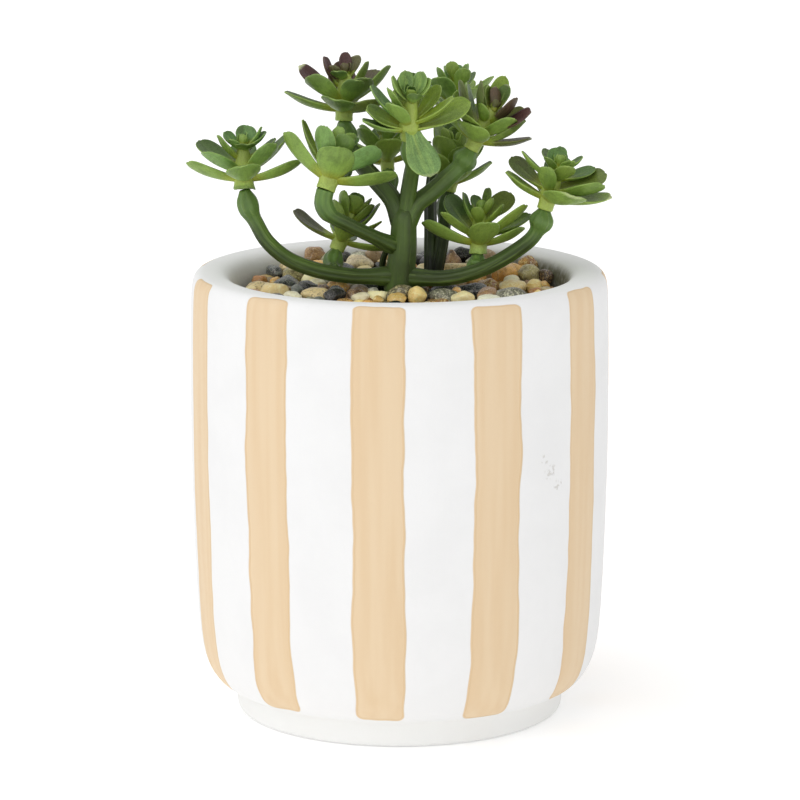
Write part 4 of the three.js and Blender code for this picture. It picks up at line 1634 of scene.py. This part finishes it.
RIGHT_BACK = Rosette(
    "right_back", (12.2, 15.6, 128), (0.22, 0.1, 1), 0.9, 4,
    leaves=(
        Leaf(0, 238, 12.0, 34, 7.6, tint=0.85, lip=-0.2, stout=0.1),
        Leaf(0, 346, 11.5, 40, 6.6, -8, tint=0.5, lip=-0.4, stout=0.1),
        Leaf(0, 286, 9.0, 30, 7, tint=0.7, lip=-0.2, stout=0.3),
        Leaf(1, 235, 12.5, 50, 8, tint=0.9, lip=-0.3, stout=0.2),
        Leaf(1, 154, 14.0, 62, 8, 10, tint=0.8, lip=-0.2, stout=0.1),
        Leaf(1, 290, 11.0, 48, 8, tint=0.85, lip=-0.3, stout=0.2),
        Leaf(1, 42, 13.0, 68, 8, -8, tint=0.6, lip=-0.4, stout=0.1),
        Leaf(1, 122, 13.0, 80, 8, tint=0.8, lip=-0.2),
        Leaf(2, 206, 9.5, 64, 6, tint=0.9, lip=-0.2, stout=0.2),
        Leaf(2, 330, 9.5, 84, 6, tint=0.9, lip=-0.3, stout=0.2),
        Leaf(2, 112, 9.5, 82, 6, tint=0.8, lip=-0.2),
        Leaf(2, 250, 7.0, 60, 6, tint=0.95, lip=-0.3, stout=0.3),
        Leaf(3, 198, 6.0, 66, 4.6, tint=0.8, lip=-0.3, stout=0.1),
        Leaf(3, 320, 6.0, 98, 4.6, tint=0.9, lip=-0.3, stout=0.1),
        Leaf(3, 126, 6.4, 74, 4.6, tint=0.7, lip=-0.3, stout=0.1),
    ),
)
ROSETTES = (
    FAR_LEFT, FAR_RIGHT, MID_LEFT, LOW_LEFT, LOW_RIGHT, TOP_LEFT,
    TOP_CENTRE, TOP_RIGHT, TOP_BACK, INNER_BACK, RIGHT_BACK,
)


# ------------------------------------------------------------------------------------ stems


@dataclass(frozen=True)
class Branch:
    """A branch of a stem.

    Attributes:
        points: Its centreline.
        radii: Its radius at each end.
        carries: The rosette on its end, if any.
        flare: How much wider it starts where it grows from another.
        shade: How dark it is, from 0 to 1, or below 0 for a lighter one; on the back stalks, which stand
            in the foliage's shadow, it is painted shade.
        ribbed: How deep its furrows are, as a share of the usual.
        KNUCKLE: The usual knuckle, as distances back from its end and radii.
        BALL: The round one.
        NARROWS: How far from the end the branch stops, where a ball or a knuckle goes on.
    """

    points: tuple[Point, ...]
    radii: tuple[float, float]
    carries: Rosette | None = None
    flare: float = 1.3
    shade: float = 0.0
    ribbed: float = 1.0

    KNUCKLE: ClassVar[tuple[tuple[float, float], ...]] = (
        (0.0, 0.0), (0.5, 0.05), (0.9, 1.75), (1.5, 2.35), (2.3, 2.75), (3.3, 2.92),
        (4.4, 2.95), (5.4, 2.8), (6.3, 2.45), (7.2, 1.95),
    )
    BALL: ClassVar[tuple[tuple[float, float], ...]] = (
        (0.0, 0.0), (0.4, 0.05), (0.8, 1.7), (1.4, 2.6), (2.2, 3.2), (3.2, 3.45),
        (4.2, 3.25), (5.1, 2.55), (5.8, 1.8), (6.6, 1.6),
    )
    NARROWS: ClassVar[dict[bool, float]] = {True: 5.8, False: 6.3}

    def line(self, step: float = 1.1) -> list[Vector]:
        """Smooths the centreline, on to just above the seat of what it carries.

        Args:
            step: The distance between the points.

        Returns:
            Its points.
        """
        through = [Vector(point) for point in self.points]
        if self.carries:
            axis = Vector(self.carries.axis).normalized()
            through.append(Vector(self.carries.seat) + axis * 0.35)
        smooth = catmull_rom(through, 16)
        return evenly(smooth, step)

    def radius_at(self, gone: float, length: float) -> float:
        """Follows the radius along the branch, to its knuckle or its domed end.

        Args:
            gone: The distance from the start.
            length: The whole length.

        Returns:
            The radius there.
        """
        radius = lerp(self.radii[0], self.radii[1], gone / length)
        radius *= lerp(self.flare, 1.0, eased(gone, 0, 7))
        if self.carries:
            back = length - gone
            own = radius if back > self.NARROWS[self.carries.ball] else 0.0
            return max(own, self.knuckle(back))
        short = max(0.0, 1 - (length - gone) / self.radii[1])
        return radius * math.sqrt(max(0.05, 1 - short**2))

    def knuckle(self, back: float) -> float:
        """Follows the knuckle's radius.

        Args:
            back: The distance from the end.

        Returns:
            The radius there, or 0 beyond the knuckle.
        """
        seated = self.carries
        profile = self.BALL if seated.ball else self.KNUCKLE
        for (near, near_radius), (far, far_radius) in zip(profile, profile[1:]):
            if back <= far:
                swollen = lerp(near_radius, far_radius, (back - near) / (far - near))
                return seated.size * max(seated.waist, swollen * seated.bulb)
        return 0.0


def catmull_rom(points: Sequence[Vector], steps: int) -> list[Vector]:
    """A centripetal Catmull-Rom line through points.

    Args:
        points: The points it goes through.
        steps: How many steps each stretch takes.

    Returns:
        The line's points.
    """
    first = points[0] * 2 - points[1]
    last = points[-1] * 2 - points[-2]
    padded = [first, *points, last]
    line: list[Vector] = []
    for a, b, c, d in zip(padded, padded[1:], padded[2:], padded[3:]):
        ab, bc, cd = ((q - p).length ** 0.5 for p, q in ((a, b), (b, c), (c, d)))
        start = (b - a) / ab - (c - a) / (ab + bc) + (c - b) / bc
        end = (c - b) / bc - (d - b) / (bc + cd) + (d - c) / cd
        start, end = start * bc, end * bc
        for i in range(steps):
            t = i / steps
            line.append(
                b * (2 * t**3 - 3 * t**2 + 1) + start * (t**3 - 2 * t**2 + t)
                + c * (3 * t**2 - 2 * t**3) + end * (t**3 - t**2)
            )
    line.append(points[-1])
    return line


def evenly(line: Sequence[Vector], step: float) -> list[Vector]:
    """The line again, with points at equal distances of about one step.

    Args:
        line: Close points.
        step: The distance that is aimed at.

    Returns:
        The new points, with the same two ends.
    """
    lengths = [0.0]
    for before, after in zip(line, line[1:]):
        lengths.append(lengths[-1] + (after - before).length)
    count = max(4, round(lengths[-1] / step))
    found, at = [], 0
    for i in range(count + 1):
        goal = lengths[-1] * i / count
        while at + 2 < len(lengths) and lengths[at + 1] < goal:
            at += 1
        share = (goal - lengths[at]) / (lengths[at + 1] - lengths[at])
        found.append(line[at].lerp(line[at + 1], share))
    return found


@dataclass
class Stems:
    """The two moulded stems: ribbed branches that swell into a knuckle under each rosette.

    Attributes:
        ribs: How many ribs run along a branch.
        rib_depth: How deep the furrows are, as a share of the radius.
        finish: What they are made of.
        dice: What draws how deep each furrow is.
        front: The branches of the front stem, the trunk first and then its two low arms.
        back: The stalks of the back stem.
        feet: Where upright stalks stand in the bed, and their radii.
        nestle: How far a pebble may press into an arm above it.
        fresh: How far from its knuckle a branch starts to turn fresh, and where it is so fully.
    """

    ribs: int = 8
    rib_depth: float = 0.24
    feet: tuple[Point, ...] = ((0, 0, 4.4), (7.8, 13.4, 2.2), (9.2, 12.9, 2.2), (-4.6, 6, 0.9))
    nestle: float = 0.2
    fresh: tuple[float, float] = (11.0, 5.0)
    finish: StemFinish = field(default_factory=StemFinish)
    dice: random.Random = field(default_factory=lambda: random.Random(3))
    front: tuple[Branch, ...] = (
        Branch(
            ((0, 0, 101), (0, 0, 106), (0.3, 0, 111), (0.8, 0, 116), (1, 0, 121), (1.1, 0, 127.4)),
            (4.3, 3.1), flare=1.04, shade=0.22, ribbed=0.4,
        ),
        Branch(
            ((-1.5, -0.5, 109.4), (-12, -1.6, 109.7), (-20.6, -2.4, 111.3), (-27.8, -2.8, 114.3),
             (-32.8, -2.6, 118.7), (-35.2, -2.2, 122.8), (-37, -2, 126.4)),
            (2.1, 1.9), FAR_LEFT, ribbed=0.65,
        ),
        Branch(
            ((1.5, -0.5, 109.2), (12.2, -2, 109.3), (21.6, -3.2, 112.2), (29, -3.8, 116.6),
             (32.6, -4, 119.6), (34.4, -4, 122.6)),
            (2.1, 1.9), FAR_RIGHT, ribbed=0.5,
        ),
        Branch(
            ((-1.5, -1, 117), (-7.5, -5.4, 120.6), (-13, -8.6, 123.8), (-17.4, -10, 126.6),
             (-18.6, -10, 129.4)),
            (1.9, 1.8), MID_LEFT, ribbed=0.7,
        ),
        Branch(
            ((1.2, 0, 122.6), (2, -0.5, 129), (2.8, -1.9, 134.6), (3.3, -4, 138.6)),
            (2.2, 1.8), TOP_CENTRE, flare=1.1, shade=-0.3, ribbed=0.4,
        ),
        Branch(
            ((0.6, 0, 122), (-1.6, 1.2, 128), (-5.2, 4, 132), (-9.2, 6.6, 136), (-12.6, 8, 140.4)),
            (2.5, 2), TOP_LEFT, flare=1.1, shade=0.25, ribbed=0.4,
        ),
        Branch(
            ((1.4, 0, 122), (4.2, 0.5, 127.2), (7.6, 1.5, 129.8), (11.8, 3, 133.4), (15.4, 4, 136.8)),
            (2.5, 2.1), TOP_RIGHT, flare=1.1, shade=-0.3, ribbed=0.3,
        ),
        Branch(((0.4, 0.6, 124), (-1.2, 4, 127), (-2, 7, 128.4)), (1.8, 1.5), INNER_BACK),
        Branch(((-16.4, -1.4, 110.7), (-16.6, 4, 111.6)), (1.6, 1.5), LOW_LEFT),
        Branch(((18.8, -2.6, 111.2), (19.2, -0.6, 112.2)), (1.6, 1.5), LOW_RIGHT),
    )
    # the back stalks are painted nearly black, a painted shade for the foliage's shadow over them
    back: tuple[Branch, ...] = (
        Branch(
            ((7.8, 13.2, 101), (7.8, 13.2, 106), (7.8, 15.6, 117), (8, 24, 127), (10, 28.4, 137)),
            (1.9, 1.6), TOP_BACK, shade=0.9,
        ),
        Branch(((9, 12.8, 101), (9, 12.8, 106), (10.8, 13.4, 117)), (1.9, 1.6), RIGHT_BACK, shade=0.9),
        Branch(
            ((-4.6, 6, 101), (-4.6, 6, 107), (-4, 4.8, 113), (-1.6, 2.2, 118.4)),
            (0.9, 0.8), flare=1.0, shade=0.95,
        ),
    )

    def stands_at(self, x: float, y: float, reach: float) -> bool:
        """True if a pebble that reaches this far would touch an upright stem."""
        return any(math.hypot(x - at_x, y - at_y) < radius + reach for at_x, at_y, radius in self.feet)

    def ceiling(self, pebble: Pebble) -> float:
        """Finds how high a pebble may reach under the two low arms.

        Args:
            pebble: The pebble.

        Returns:
            The height of its top at most.
        """
        lowest = math.inf
        for branch in self.front[1:3]:
            for point in branch.line(2.5):
                aside = math.hypot(point.x - pebble.x, point.y - pebble.y)
                if aside < branch.radii[0] + pebble.half[1]:
                    lowest = min(lowest, point.z - branch.radii[0] + self.nestle)
        return lowest

    def stalk(self, name: str, branch: Branch) -> Piece:
        """Models a branch straight, ring by ring, and bends it along its line.

        Args:
            name: The piece's name.
            branch: The branch.

        Returns:
            The branch in its place.
        """
        line = branch.line()
        length = sum((after - before).length for before, after in zip(line, line[1:]))
        rise = length / (len(line) - 1)
        Bench.clear()
        bpy.ops.mesh.primitive_circle_add(vertices=3 * self.ribs, radius=MM, fill_type="NOTHING")
        stalk = Bench.taken(name)
        Bench.mode("EDIT")
        for number in range(0, 3 * self.ribs, 3):
            Bench.pick(stalk, [number])
            furrow = 1 - self.rib_depth * branch.ribbed * self.dice.uniform(0.45, 1.25)
            bpy.ops.transform.resize(value=(furrow, furrow, 1), center_override=(0, 0, 0))
        bpy.ops.mesh.select_all(action="SELECT")
        radius = branch.radius_at(0, length)
        bpy.ops.transform.resize(value=(radius, radius, 1), center_override=(0, 0, 0))
        for i in range(1, len(line)):
            bpy.ops.mesh.extrude_region_move(TRANSFORM_OT_translate={"value": (0, 0, rise * MM)})
            grown = branch.radius_at(rise * i, length) / radius
            radius *= grown
            bpy.ops.transform.resize(value=(grown, grown, 1), center_override=(0, 0, 0))
        bpy.ops.mesh.edge_face_add()
        bpy.ops.mesh.inset(thickness=0.3 * MM)
        Bench.pick(stalk, range(3 * self.ribs))
        bpy.ops.mesh.edge_face_add()
        bpy.ops.mesh.select_all(action="SELECT")
        bpy.ops.mesh.normals_make_consistent(inside=False)
        Bench.mode("OBJECT")
        self.mark(stalk, branch, length)
        Bench.smoothed(stalk, 1)
        self.bend(stalk, line)
        return stalk

    def mark(self, stalk: Piece, branch: Branch, length: float) -> None:
        """Stores on each vertex its place on the straight stalk, how fresh it is, how high on a rib it
        lies for the painted highlight, and how dark it is, partly as painted shade.

        Args:
            stalk: The straight stalk.
            branch: The branch that it becomes.
            length: Its length.
        """
        seed = Vector((branch.points[0][0] * 3.1, branch.points[-1][1] * 2.3, 0))
        sleeve, own = [], []
        for vertex in stalk.data.vertices:
            place = vertex.co / MM
            sleeve.append(tuple(place + seed))
            expected = branch.radius_at(min(length, max(0.0, place.z)), length)
            crest_highlight = eased(math.hypot(place.x, place.y) / max(expected, 0.1), 1 - self.rib_depth, 1.0)
            start, full = (length - back for back in self.fresh)
            fresh = eased(place.z, start, full) if branch.carries else 0.0
            own.append((fresh, crest_highlight, branch.shade * (1 - 0.5 * fresh)))
        Bench.label(stalk, "sleeve", sleeve)
        Bench.label(stalk, "stalk", own)

    def bend(self, stalk: Piece, line: Sequence[Vector]) -> None:
        """Bends a straight stalk along a line with the Curve modifier.

        Args:
            stalk: The straight stalk, along Z from the origin.
            line: The line's points.
        """
        drawn = bpy.data.curves.new("path", "CURVE")
        drawn.dimensions = "3D"
        spline = drawn.splines.new("POLY")
        spline.points.add(len(line) - 1)
        for knot, point in zip(spline.points, line):
            knot.co = (*(point * MM), 1.0)
        path = bpy.data.objects.new("path", drawn)
        bpy.context.scene.collection.objects.link(path)
        Bench.finish_with(stalk, "CURVE", object=path, deform_axis="POS_Z")
        bpy.data.objects.remove(path)

    def build(self) -> None:
        """Models both stems."""
        dressing = self.finish.material()
        for name, node, branches in (
            ("stem_front_ribbed", "stem_front", self.front),
            ("stem_back_ribbed", "stem_back", self.back),
        ):
            stalks = [self.stalk(f"{node}_{i}", branch) for i, branch in enumerate(branches)]
            stem = Bench.joined(name, stalks)
            bpy.ops.object.shade_smooth()
            stem.data.materials.append(dressing)
            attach(stem, "root")
            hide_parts(node)
            log.info("%s: %d branches, %d faces", name, len(branches), len(stem.data.polygons))


# --------------------------------------------------------------------------------- rosettes


@dataclass
class LeafPattern:
    """A leaf: narrow at the root, widest at three quarters, with a broad rounded end.

    Attributes:
        rows: The share of the length and of the width at each row.
        columns: How many faces lie side by side.
        cup: How far the edges stand up, as a share of the width.
        groove: How far the midrib is sunk, as a share of the width.
        point: How far the tip's small point stands out, as a share of the length.
        stout_rows: How much of a leaf's stoutness the rows from the root on take.
        ragged: How far the edge strays, in millimetres.
    """

    rows: tuple[tuple[float, float], ...] = (
        (0.0, 0.38), (0.14, 0.44), (0.29, 0.63), (0.44, 0.85), (0.59, 0.98),
        (0.74, 1.0), (0.87, 0.88), (0.955, 0.66), (1.0, 0.34),
    )
    columns: int = 6
    cup: float = 0.13
    groove: float = 0.022
    point: float = 0.035
    stout_rows: tuple[float, ...] = (1.0, 0.9, 0.6, 0.25)
    ragged: float = 0.16

    def cut(self) -> Piece:
        """Cuts the outline, 1 long and 1 wide, cupped, with its root at the origin.

        Returns:
            The blade along X, to copy from.
        """
        last, middle = len(self.rows) - 1, self.columns / 2
        Bench.clear()
        bpy.ops.mesh.primitive_grid_add(
            x_subdivisions=last, y_subdivisions=self.columns, size=1, location=(0.5, 0, 0)
        )
        blade = Bench.taken("blade")
        bpy.ops.object.transform_apply(location=True)
        Bench.mode("EDIT")
        for number in range(self.columns + 1):
            aside = abs(number - middle) / middle
            lift = self.cup * aside**1.9 if aside else -self.groove
            Bench.pick(blade, self.column(number))
            bpy.ops.transform.translate(value=(0, 0, lift))
        for row, (share, width) in enumerate(self.rows):
            Bench.pick(blade, self.row(row))
            hollow = width * lerp(1.25, 0.4, share)
            bpy.ops.transform.resize(value=(1, width, hollow), center_override=(0, 0, 0))
            bpy.ops.transform.translate(value=(share - row / last, 0, 0))
        Bench.pick(blade, [last + len(self.rows) * (self.columns // 2)])
        bpy.ops.transform.translate(value=(self.point, 0, 0))
        Bench.mode("OBJECT")
        return blade

    def row(self, number: int) -> list[int]:
        """The vertex numbers of a row across the leaf."""
        count = len(self.rows)
        return [number + count * column for column in range(self.columns + 1)]

    def column(self, number: int) -> list[int]:
        """The vertex numbers of a line along the leaf."""
        count = len(self.rows)
        return [row + count * number for row in range(count)]

    def rim(self) -> list[int]:
        """The vertex numbers of the edge, without the root."""
        sides = self.column(0)[2:] + self.column(self.columns)[2:]
        return sorted({*sides, *self.row(len(self.rows) - 1)})

    def grown(self, blade: Piece, leaf: Leaf, ring: Ring, dice: random.Random) -> Piece:
        """Grows the blade to a leaf: sized, bent, thickened and rounded.

        Args:
            blade: The cupped outline.
            leaf: The leaf that is wanted.
            ring: The ring that it grows from.
            dice: What draws its small irregularities.

        Returns:
            The leaf, with its root at the origin and its length along X.
        """
        curve = math.radians(ring.curve) * dice.uniform(0.8, 1.25)
        length = leaf.reach / (math.sin(curve / 2) / (curve / 2))
        width = (leaf.width or ring.width) * dice.uniform(0.98, 1.05)
        cupped = width * dice.uniform(0.75, 1.25)
        size = Matrix.Diagonal((length * MM, width * MM, cupped * MM, 1.0))
        made = Bench.copy_of(blade, size)
        Bench.only(made)
        self.mark(made)
        Bench.mode("EDIT")
        for row, share in enumerate(self.stout_rows):
            Bench.pick(made, self.row(row))
            wider = 1 + leaf.stout * share
            bpy.ops.transform.resize(value=(1, wider, 1), center_override=(0, 0, 0))
        Bench.pick(made, self.rim())
        bpy.ops.transform.vertex_random(offset=self.ragged * MM, seed=dice.randrange(9999))
        bends = (math.radians(leaf.rise) - curve / 2, curve, leaf.twist + dice.uniform(-9, 9))
        self.curl(made, bends, dice.uniform(-7, 7))
        Bench.mode("OBJECT")
        self.thicken(made, ring)
        return made

    def mark(self, leaf: Piece) -> None:
        """Stores on each vertex its share across and along the leaf, and that it is on top.

        Args:
            leaf: The flat leaf, which has its upper side alone.
        """
        count = len(self.rows)
        values = []
        for number in range(len(leaf.data.vertices)):
            column, row = divmod(number, count)
            values.append((2 * column / self.columns - 1, self.rows[row][0], 1.0))
        Bench.label(leaf, "blade", values)

    def curl(self, leaf: Piece, bends: tuple[float, float, float], lean: float) -> None:
        """Turns the leaf up row by row, from its root to its tip.

        Args:
            leaf: The leaf, in edit mode.
            bends: The rise at the root and how much steeper it gets, in radians, and the twist.
            lean: How far the tip is turned sideways.
        """
        start, curve, twist = bends
        spine = len(self.rows) * (self.columns // 2)
        for row in range(len(self.rows) - 1):
            part = self.rows[row + 1][0] - (self.rows[row - 1][0] if row else 0.0)
            bend = curve * part / 2 + (start if row == 0 else 0.0)
            mesh = bmesh.from_edit_mesh(leaf.data)
            mesh.verts.ensure_lookup_table()
            turn = {"center_override": tuple(mesh.verts[row + spine].co)}
            Bench.pick(leaf, [n for later in range(row + 1, len(self.rows)) for n in self.row(later)])
            bpy.ops.transform.rotate(value=bend, orient_axis="Y", **turn)
            rolled = part / 2 + (0.5 if row == 0 else 0.0)
            bpy.ops.transform.rotate(value=math.radians(twist) * rolled, orient_axis="X", **turn)
            bpy.ops.transform.rotate(value=math.radians(lean) * part / 2, orient_axis="Z", **turn)

    def thicken(self, leaf: Piece, ring: Ring) -> None:
        """Gives the leaf its flesh, thickest along the middle, and rounds it.

        Args:
            leaf: The leaf, in object mode.
            ring: The ring that it grows from.
        """
        flesh = leaf.vertex_groups.new(name="flesh")
        shell, count = len(leaf.data.vertices), len(self.rows)
        for number in range(shell):
            column, row = divmod(number, count)
            aside = abs(2 * column / self.columns - 1)
            end = 1 - eased(self.rows[row][0], 0.6, 1.0) * 0.5
            flesh.add([number], (0.36 + 0.64 * (1 - aside**2)) * end, "REPLACE")
        Bench.finish_with(
            leaf, "SOLIDIFY", thickness=ring.thick * MM, offset=-1, vertex_group="flesh",
            edge_crease_outer=0.55, edge_crease_inner=0.4,
        )
        layer = leaf.data.attributes["blade"]
        for number in range(shell, len(leaf.data.vertices)):
            across, along, _ = layer.data[number].vector
            layer.data[number].vector = (across, along, 0.0)
        leaf.vertex_groups.clear()
        Bench.smoothed(leaf, 1)


@dataclass
class Rosettes:
    """Every rosette: a neck on the knuckle, a tapering core and rings of leaves round it.

    Attributes:
        neck: The height of the lowest ring above the seat.
        finish: What it is made of.
        pattern: The leaf that all are cut from.
        dice: What draws the irregularities.
        spray: What draws how dark each leaf is sprayed.
        teeth: How many teeth a torn lip has.
    """

    neck: float = 3.4
    finish: LeafFinish = field(default_factory=LeafFinish)
    pattern: LeafPattern = field(default_factory=LeafPattern)
    dice: random.Random = field(default_factory=lambda: random.Random(5))
    spray: random.Random = field(default_factory=lambda: random.Random(11))
    teeth: int = 5

    def hub(self, name: str, sleeve: float) -> Piece:
        """Models the neck with its lip, and the core that the leaves grow from.

        Args:
            name: The piece's name.
            sleeve: How far the lip stands out, from 0 to 1.

        Returns:
            The hub, standing on the origin.
        """
        neck, top = self.neck, self.neck + RINGS[3].lift + 0.9
        lip = lerp(2.0, 2.75, sleeve)
        profile = [
            (0, 0.9), (1.6, 0.9), (1.75, 0.75), (lip - 0.3, 0.45 * sleeve + 0.1),
            (lip, 0.45 * sleeve + 0.05), (lip + 0.12, 0.5 + 0.3 * sleeve),
            (lerp(2.05, 2.6, sleeve), 1.2 + 0.3 * sleeve), (lerp(2.15, 2.5, sleeve), neck - 1.0),
            (2.65, neck - 0.1), (2.7, neck + 0.5), (2.35, neck + 1.5), (2.15, neck + 3),
            (2.0, neck + 4.6), (1.85, neck + 6.4), (1.5, neck + 7.8), (0.7, top), (0, top + 0.1),
        ]
        hub = Bench.spun(name, profile, 20)
        if sleeve > 0.3:
            self.tear(hub, sleeve)
        blades = [self.neck_tone(vertex.co.z / MM, sleeve) for vertex in hub.data.vertices]
        Bench.label(hub, "blade", blades)
        Bench.label(hub, "mood", [(0.62, 0.0, 0.0)] * len(hub.data.vertices))
        Bench.smoothed(hub, 1)
        return hub

    @staticmethod
    def neck_tone(height: float, sleeve: float) -> Point:
        """What the neck stores at a height, so that a standing lip is as dark as a leaf's top."""
        dark = sleeve * (1 - eased(height, 0.9, 1.9))
        return (0.5, lerp(0.08, 0.7, dark), lerp(0.25, 0.8, dark))

    def tear(self, hub: Piece, sleeve: float) -> None:
        """Draws some teeth out of the neck's lower lip.

        Args:
            hub: The hub, in object mode.
            sleeve: How far the lip stands out.
        """
        Bench.only(hub)
        Bench.mode("EDIT")
        edge = [v.index for v in hub.data.vertices if self.on_lip(v.co / MM)]
        for number in self.dice.sample(edge, self.teeth):
            Bench.pick(hub, [number])
            drop = -self.dice.uniform(0.3, 0.8) * sleeve * MM
            bpy.ops.transform.translate(value=(0, 0, drop))
            bpy.ops.transform.resize(value=(1.12, 1.12, 1), center_override=(0, 0, 0))
        Bench.mode("OBJECT")

    @staticmethod
    def on_lip(place: Vector) -> bool:
        """True for the outer corner of the neck's lower lip."""
        return place.z < 0.6 and math.hypot(place.x, place.y) > 2.1

    def leaves_of(self, rosette: Rosette) -> list[Leaf]:
        """The leaves of a rosette: those that are given and the innermost ring, or regular rings.

        Args:
            rosette: The rosette.

        Returns:
            Its leaves.
        """
        leaves = list(rosette.leaves)
        for number, ring in enumerate(RINGS):
            if rosette.leaves and ring is not RINGS[-1]:
                continue
            for i in range(ring.leaves):
                bearing = rosette.turn + ring.turn + i * 360 / ring.leaves + self.dice.uniform(-6, 6)
                reach = ring.reach * self.dice.uniform(0.94, 1.08)
                rise = ring.rise + self.dice.uniform(-6, 8)
                blush = self.dice.uniform(0.7, 1.0) if rosette.purple else 0.0
                leaves.append(Leaf(number, bearing, reach, rise, blush=blush))
        return leaves

    def assembled(self, rosette: Rosette, blade: Piece) -> Piece:
        """Puts one rosette together.

        Args:
            rosette: The rosette.
            blade: The outline that its leaves are cut from.

        Returns:
            The rosette in its place.
        """
        name = f"rosette_{rosette.name}_leaves"
        pieces = [self.hub(name, rosette.sleeve)]
        pieces[0].data.transform(Matrix.Diagonal((rosette.girth, rosette.girth, 1.0, 1.0)))
        for leaf in self.leaves_of(rosette):
            ring = RINGS[leaf.whorl]
            made = self.pattern.grown(blade, leaf, ring, self.dice)
            # the core tapers, so the upper rings start nearer its axis
            out = max(0.3, 1.3 - 0.2 * leaf.whorl)
            place = (
                Matrix.Translation((0, 0, (self.neck + ring.lift) * MM))
                @ Matrix.Rotation(math.radians(leaf.bearing), 4, "Z")
                @ Matrix.Translation((out * MM, 0, 0))
            )
            made.data.transform(place)
            tint = self.dice.random() if leaf.tint < 0 else leaf.tint
            own = (tint, leaf.blush, leaf.lip or -self.spray.uniform(0.0, 0.3))
            Bench.label(made, "mood", [own] * len(made.data.vertices))
            pieces.append(made)
        whole = Bench.joined(name, pieces)
        whole.data.transform(standing(rosette.seat, rosette.axis) @ Matrix.Scale(rosette.size, 4))
        return whole

    def build(self) -> None:
        """Models every rosette."""
        dressing = self.finish.material()
        blade = self.pattern.cut()
        for rosette in ROSETTES:
            made = self.assembled(rosette, blade)
            made.data.materials.append(dressing)
            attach(made, "root")
            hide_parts(f"rosette_{rosette.name}")
            log.info("%s: %d faces", made.name, len(made.data.polygons))
        Bench.scrap([blade])


# ----------------------------------------------------------------------------------- studio


@dataclass
class Studio:
    """A pale floor, soft light from the upper left and from the front, and the camera.

    Attributes:
        camera_at: Where the camera stands.
        camera_aims: The point that it looks at.
        lens: Its focal length on a 36 mm sensor.
        floor_reach: The floor's radius, in metres.
        floor_tone: The floor's colour.
        floor_shade: Its colour in faint clouds.
        room: How bright the room is all round.
        lamps: Each lamp's name, the direction it stands in, its strength and its spread.
    """

    camera_at: Point = (0.1, -993.7, 284.7)
    camera_aims: Point = (0.1, 0.0, 78.0)
    lens: float = 183.4
    floor_reach: float = 7.0
    floor_tone: Colour = paint(253, 253, 253)
    floor_shade: Colour = paint(251, 251, 251)
    room: float = 0.73
    lamps: tuple[tuple[str, Point, float, float], ...] = (
        ("key", (-0.7, -0.4, 1.0), 0.98, 80),
        ("fill", (0.2, -1.0, 0.02), 0.38, 70),
    )

    def build(self) -> None:
        """Sets up the floor, the light and the camera."""
        self.lay_floor()
        self.light()
        self.stand_camera()
        bpy.context.scene.view_settings.view_transform = "Standard"

    def lay_floor(self) -> None:
        """Lays the floor."""
        Bench.clear()
        bpy.ops.mesh.primitive_circle_add(vertices=96, radius=self.floor_reach, fill_type="NGON")
        floor = Bench.taken("floor")
        surface = Surface("floor_paper", roughness=0.9, specular=0.1)
        clouds, _ = Mottle.put(surface.wiring, Point=surface.wiring.place(), Per_mm=0.02)
        shade = surface.wiring.ramp(clouds, 0.3, 0.7, 0.0, 0.4)
        tone = surface.wiring.mix(shade, self.floor_tone, self.floor_shade)
        surface.feed("Base Color", tone)
        surface.fix("Emission Color", (1.0, 1.0, 1.0, 1.0))
        surface.fix("Emission Strength", 0.2)
        floor.data.materials.append(surface.material)

    def light(self) -> None:
        """Lights the room evenly and hangs the lamps."""
        world = bpy.data.worlds.new("room")
        bpy.context.scene.world = world
        world.use_nodes = True
        background = world.node_tree.nodes["Background"]
        background.inputs["Color"].default_value = (1.0, 1.0, 1.0, 1.0)
        background.inputs["Strength"].default_value = self.room
        for name, towards, strength, spread in self.lamps:
            self.lamp(name, towards, strength, spread)

    def lamp(self, name: str, towards: Point, strength: float, spread: float) -> None:
        """Adds a far soft lamp.

        Args:
            name: The lamp's name.
            towards: The direction it stands in, from the object.
            strength: Its strength.
            spread: How wide it looks, in degrees.
        """
        data = bpy.data.lights.new(name, "SUN")
        data.energy = strength
        data.angle = math.radians(spread)
        lamp = bpy.data.objects.new(name, data)
        lamp.rotation_mode = "QUATERNION"
        lamp.rotation_quaternion = Vector(towards).to_track_quat("Z", "Y")
        bpy.context.scene.collection.objects.link(lamp)

    def stand_camera(self) -> None:
        """Stands the camera at the photograph's angle."""
        data = bpy.data.cameras.new("camera")
        data.lens = self.lens
        data.sensor_width = 36.0
        data.clip_start, data.clip_end = 0.01, 50.0
        camera = bpy.data.objects.new("camera", data)
        camera.location = Vector(self.camera_at) * MM
        camera.rotation_mode = "QUATERNION"
        aim = Vector(self.camera_aims) - Vector(self.camera_at)
        camera.rotation_quaternion = aim.to_track_quat("-Z", "Y")
        bpy.context.scene.collection.objects.link(camera)
        bpy.context.scene.camera = camera


def dress_plug() -> None:
    """Gives the hidden foam plug, which keeps its CAD solid, its finish."""
    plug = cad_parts["foam_plug"]
    plug.data.materials.clear()
    plug.data.materials.append(FoamFinish().material())


def main() -> None:
    """Builds the pieces in order."""
    logging.basicConfig(level=logging.INFO, format="%(message)s")
    dress_plug()
    Pot().build()
    stems = Stems()
    stems.build()
    PebbleBed().build(stems)
    Rosettes().build()
    Studio().build()


if __name__ == "__main__":
    main()
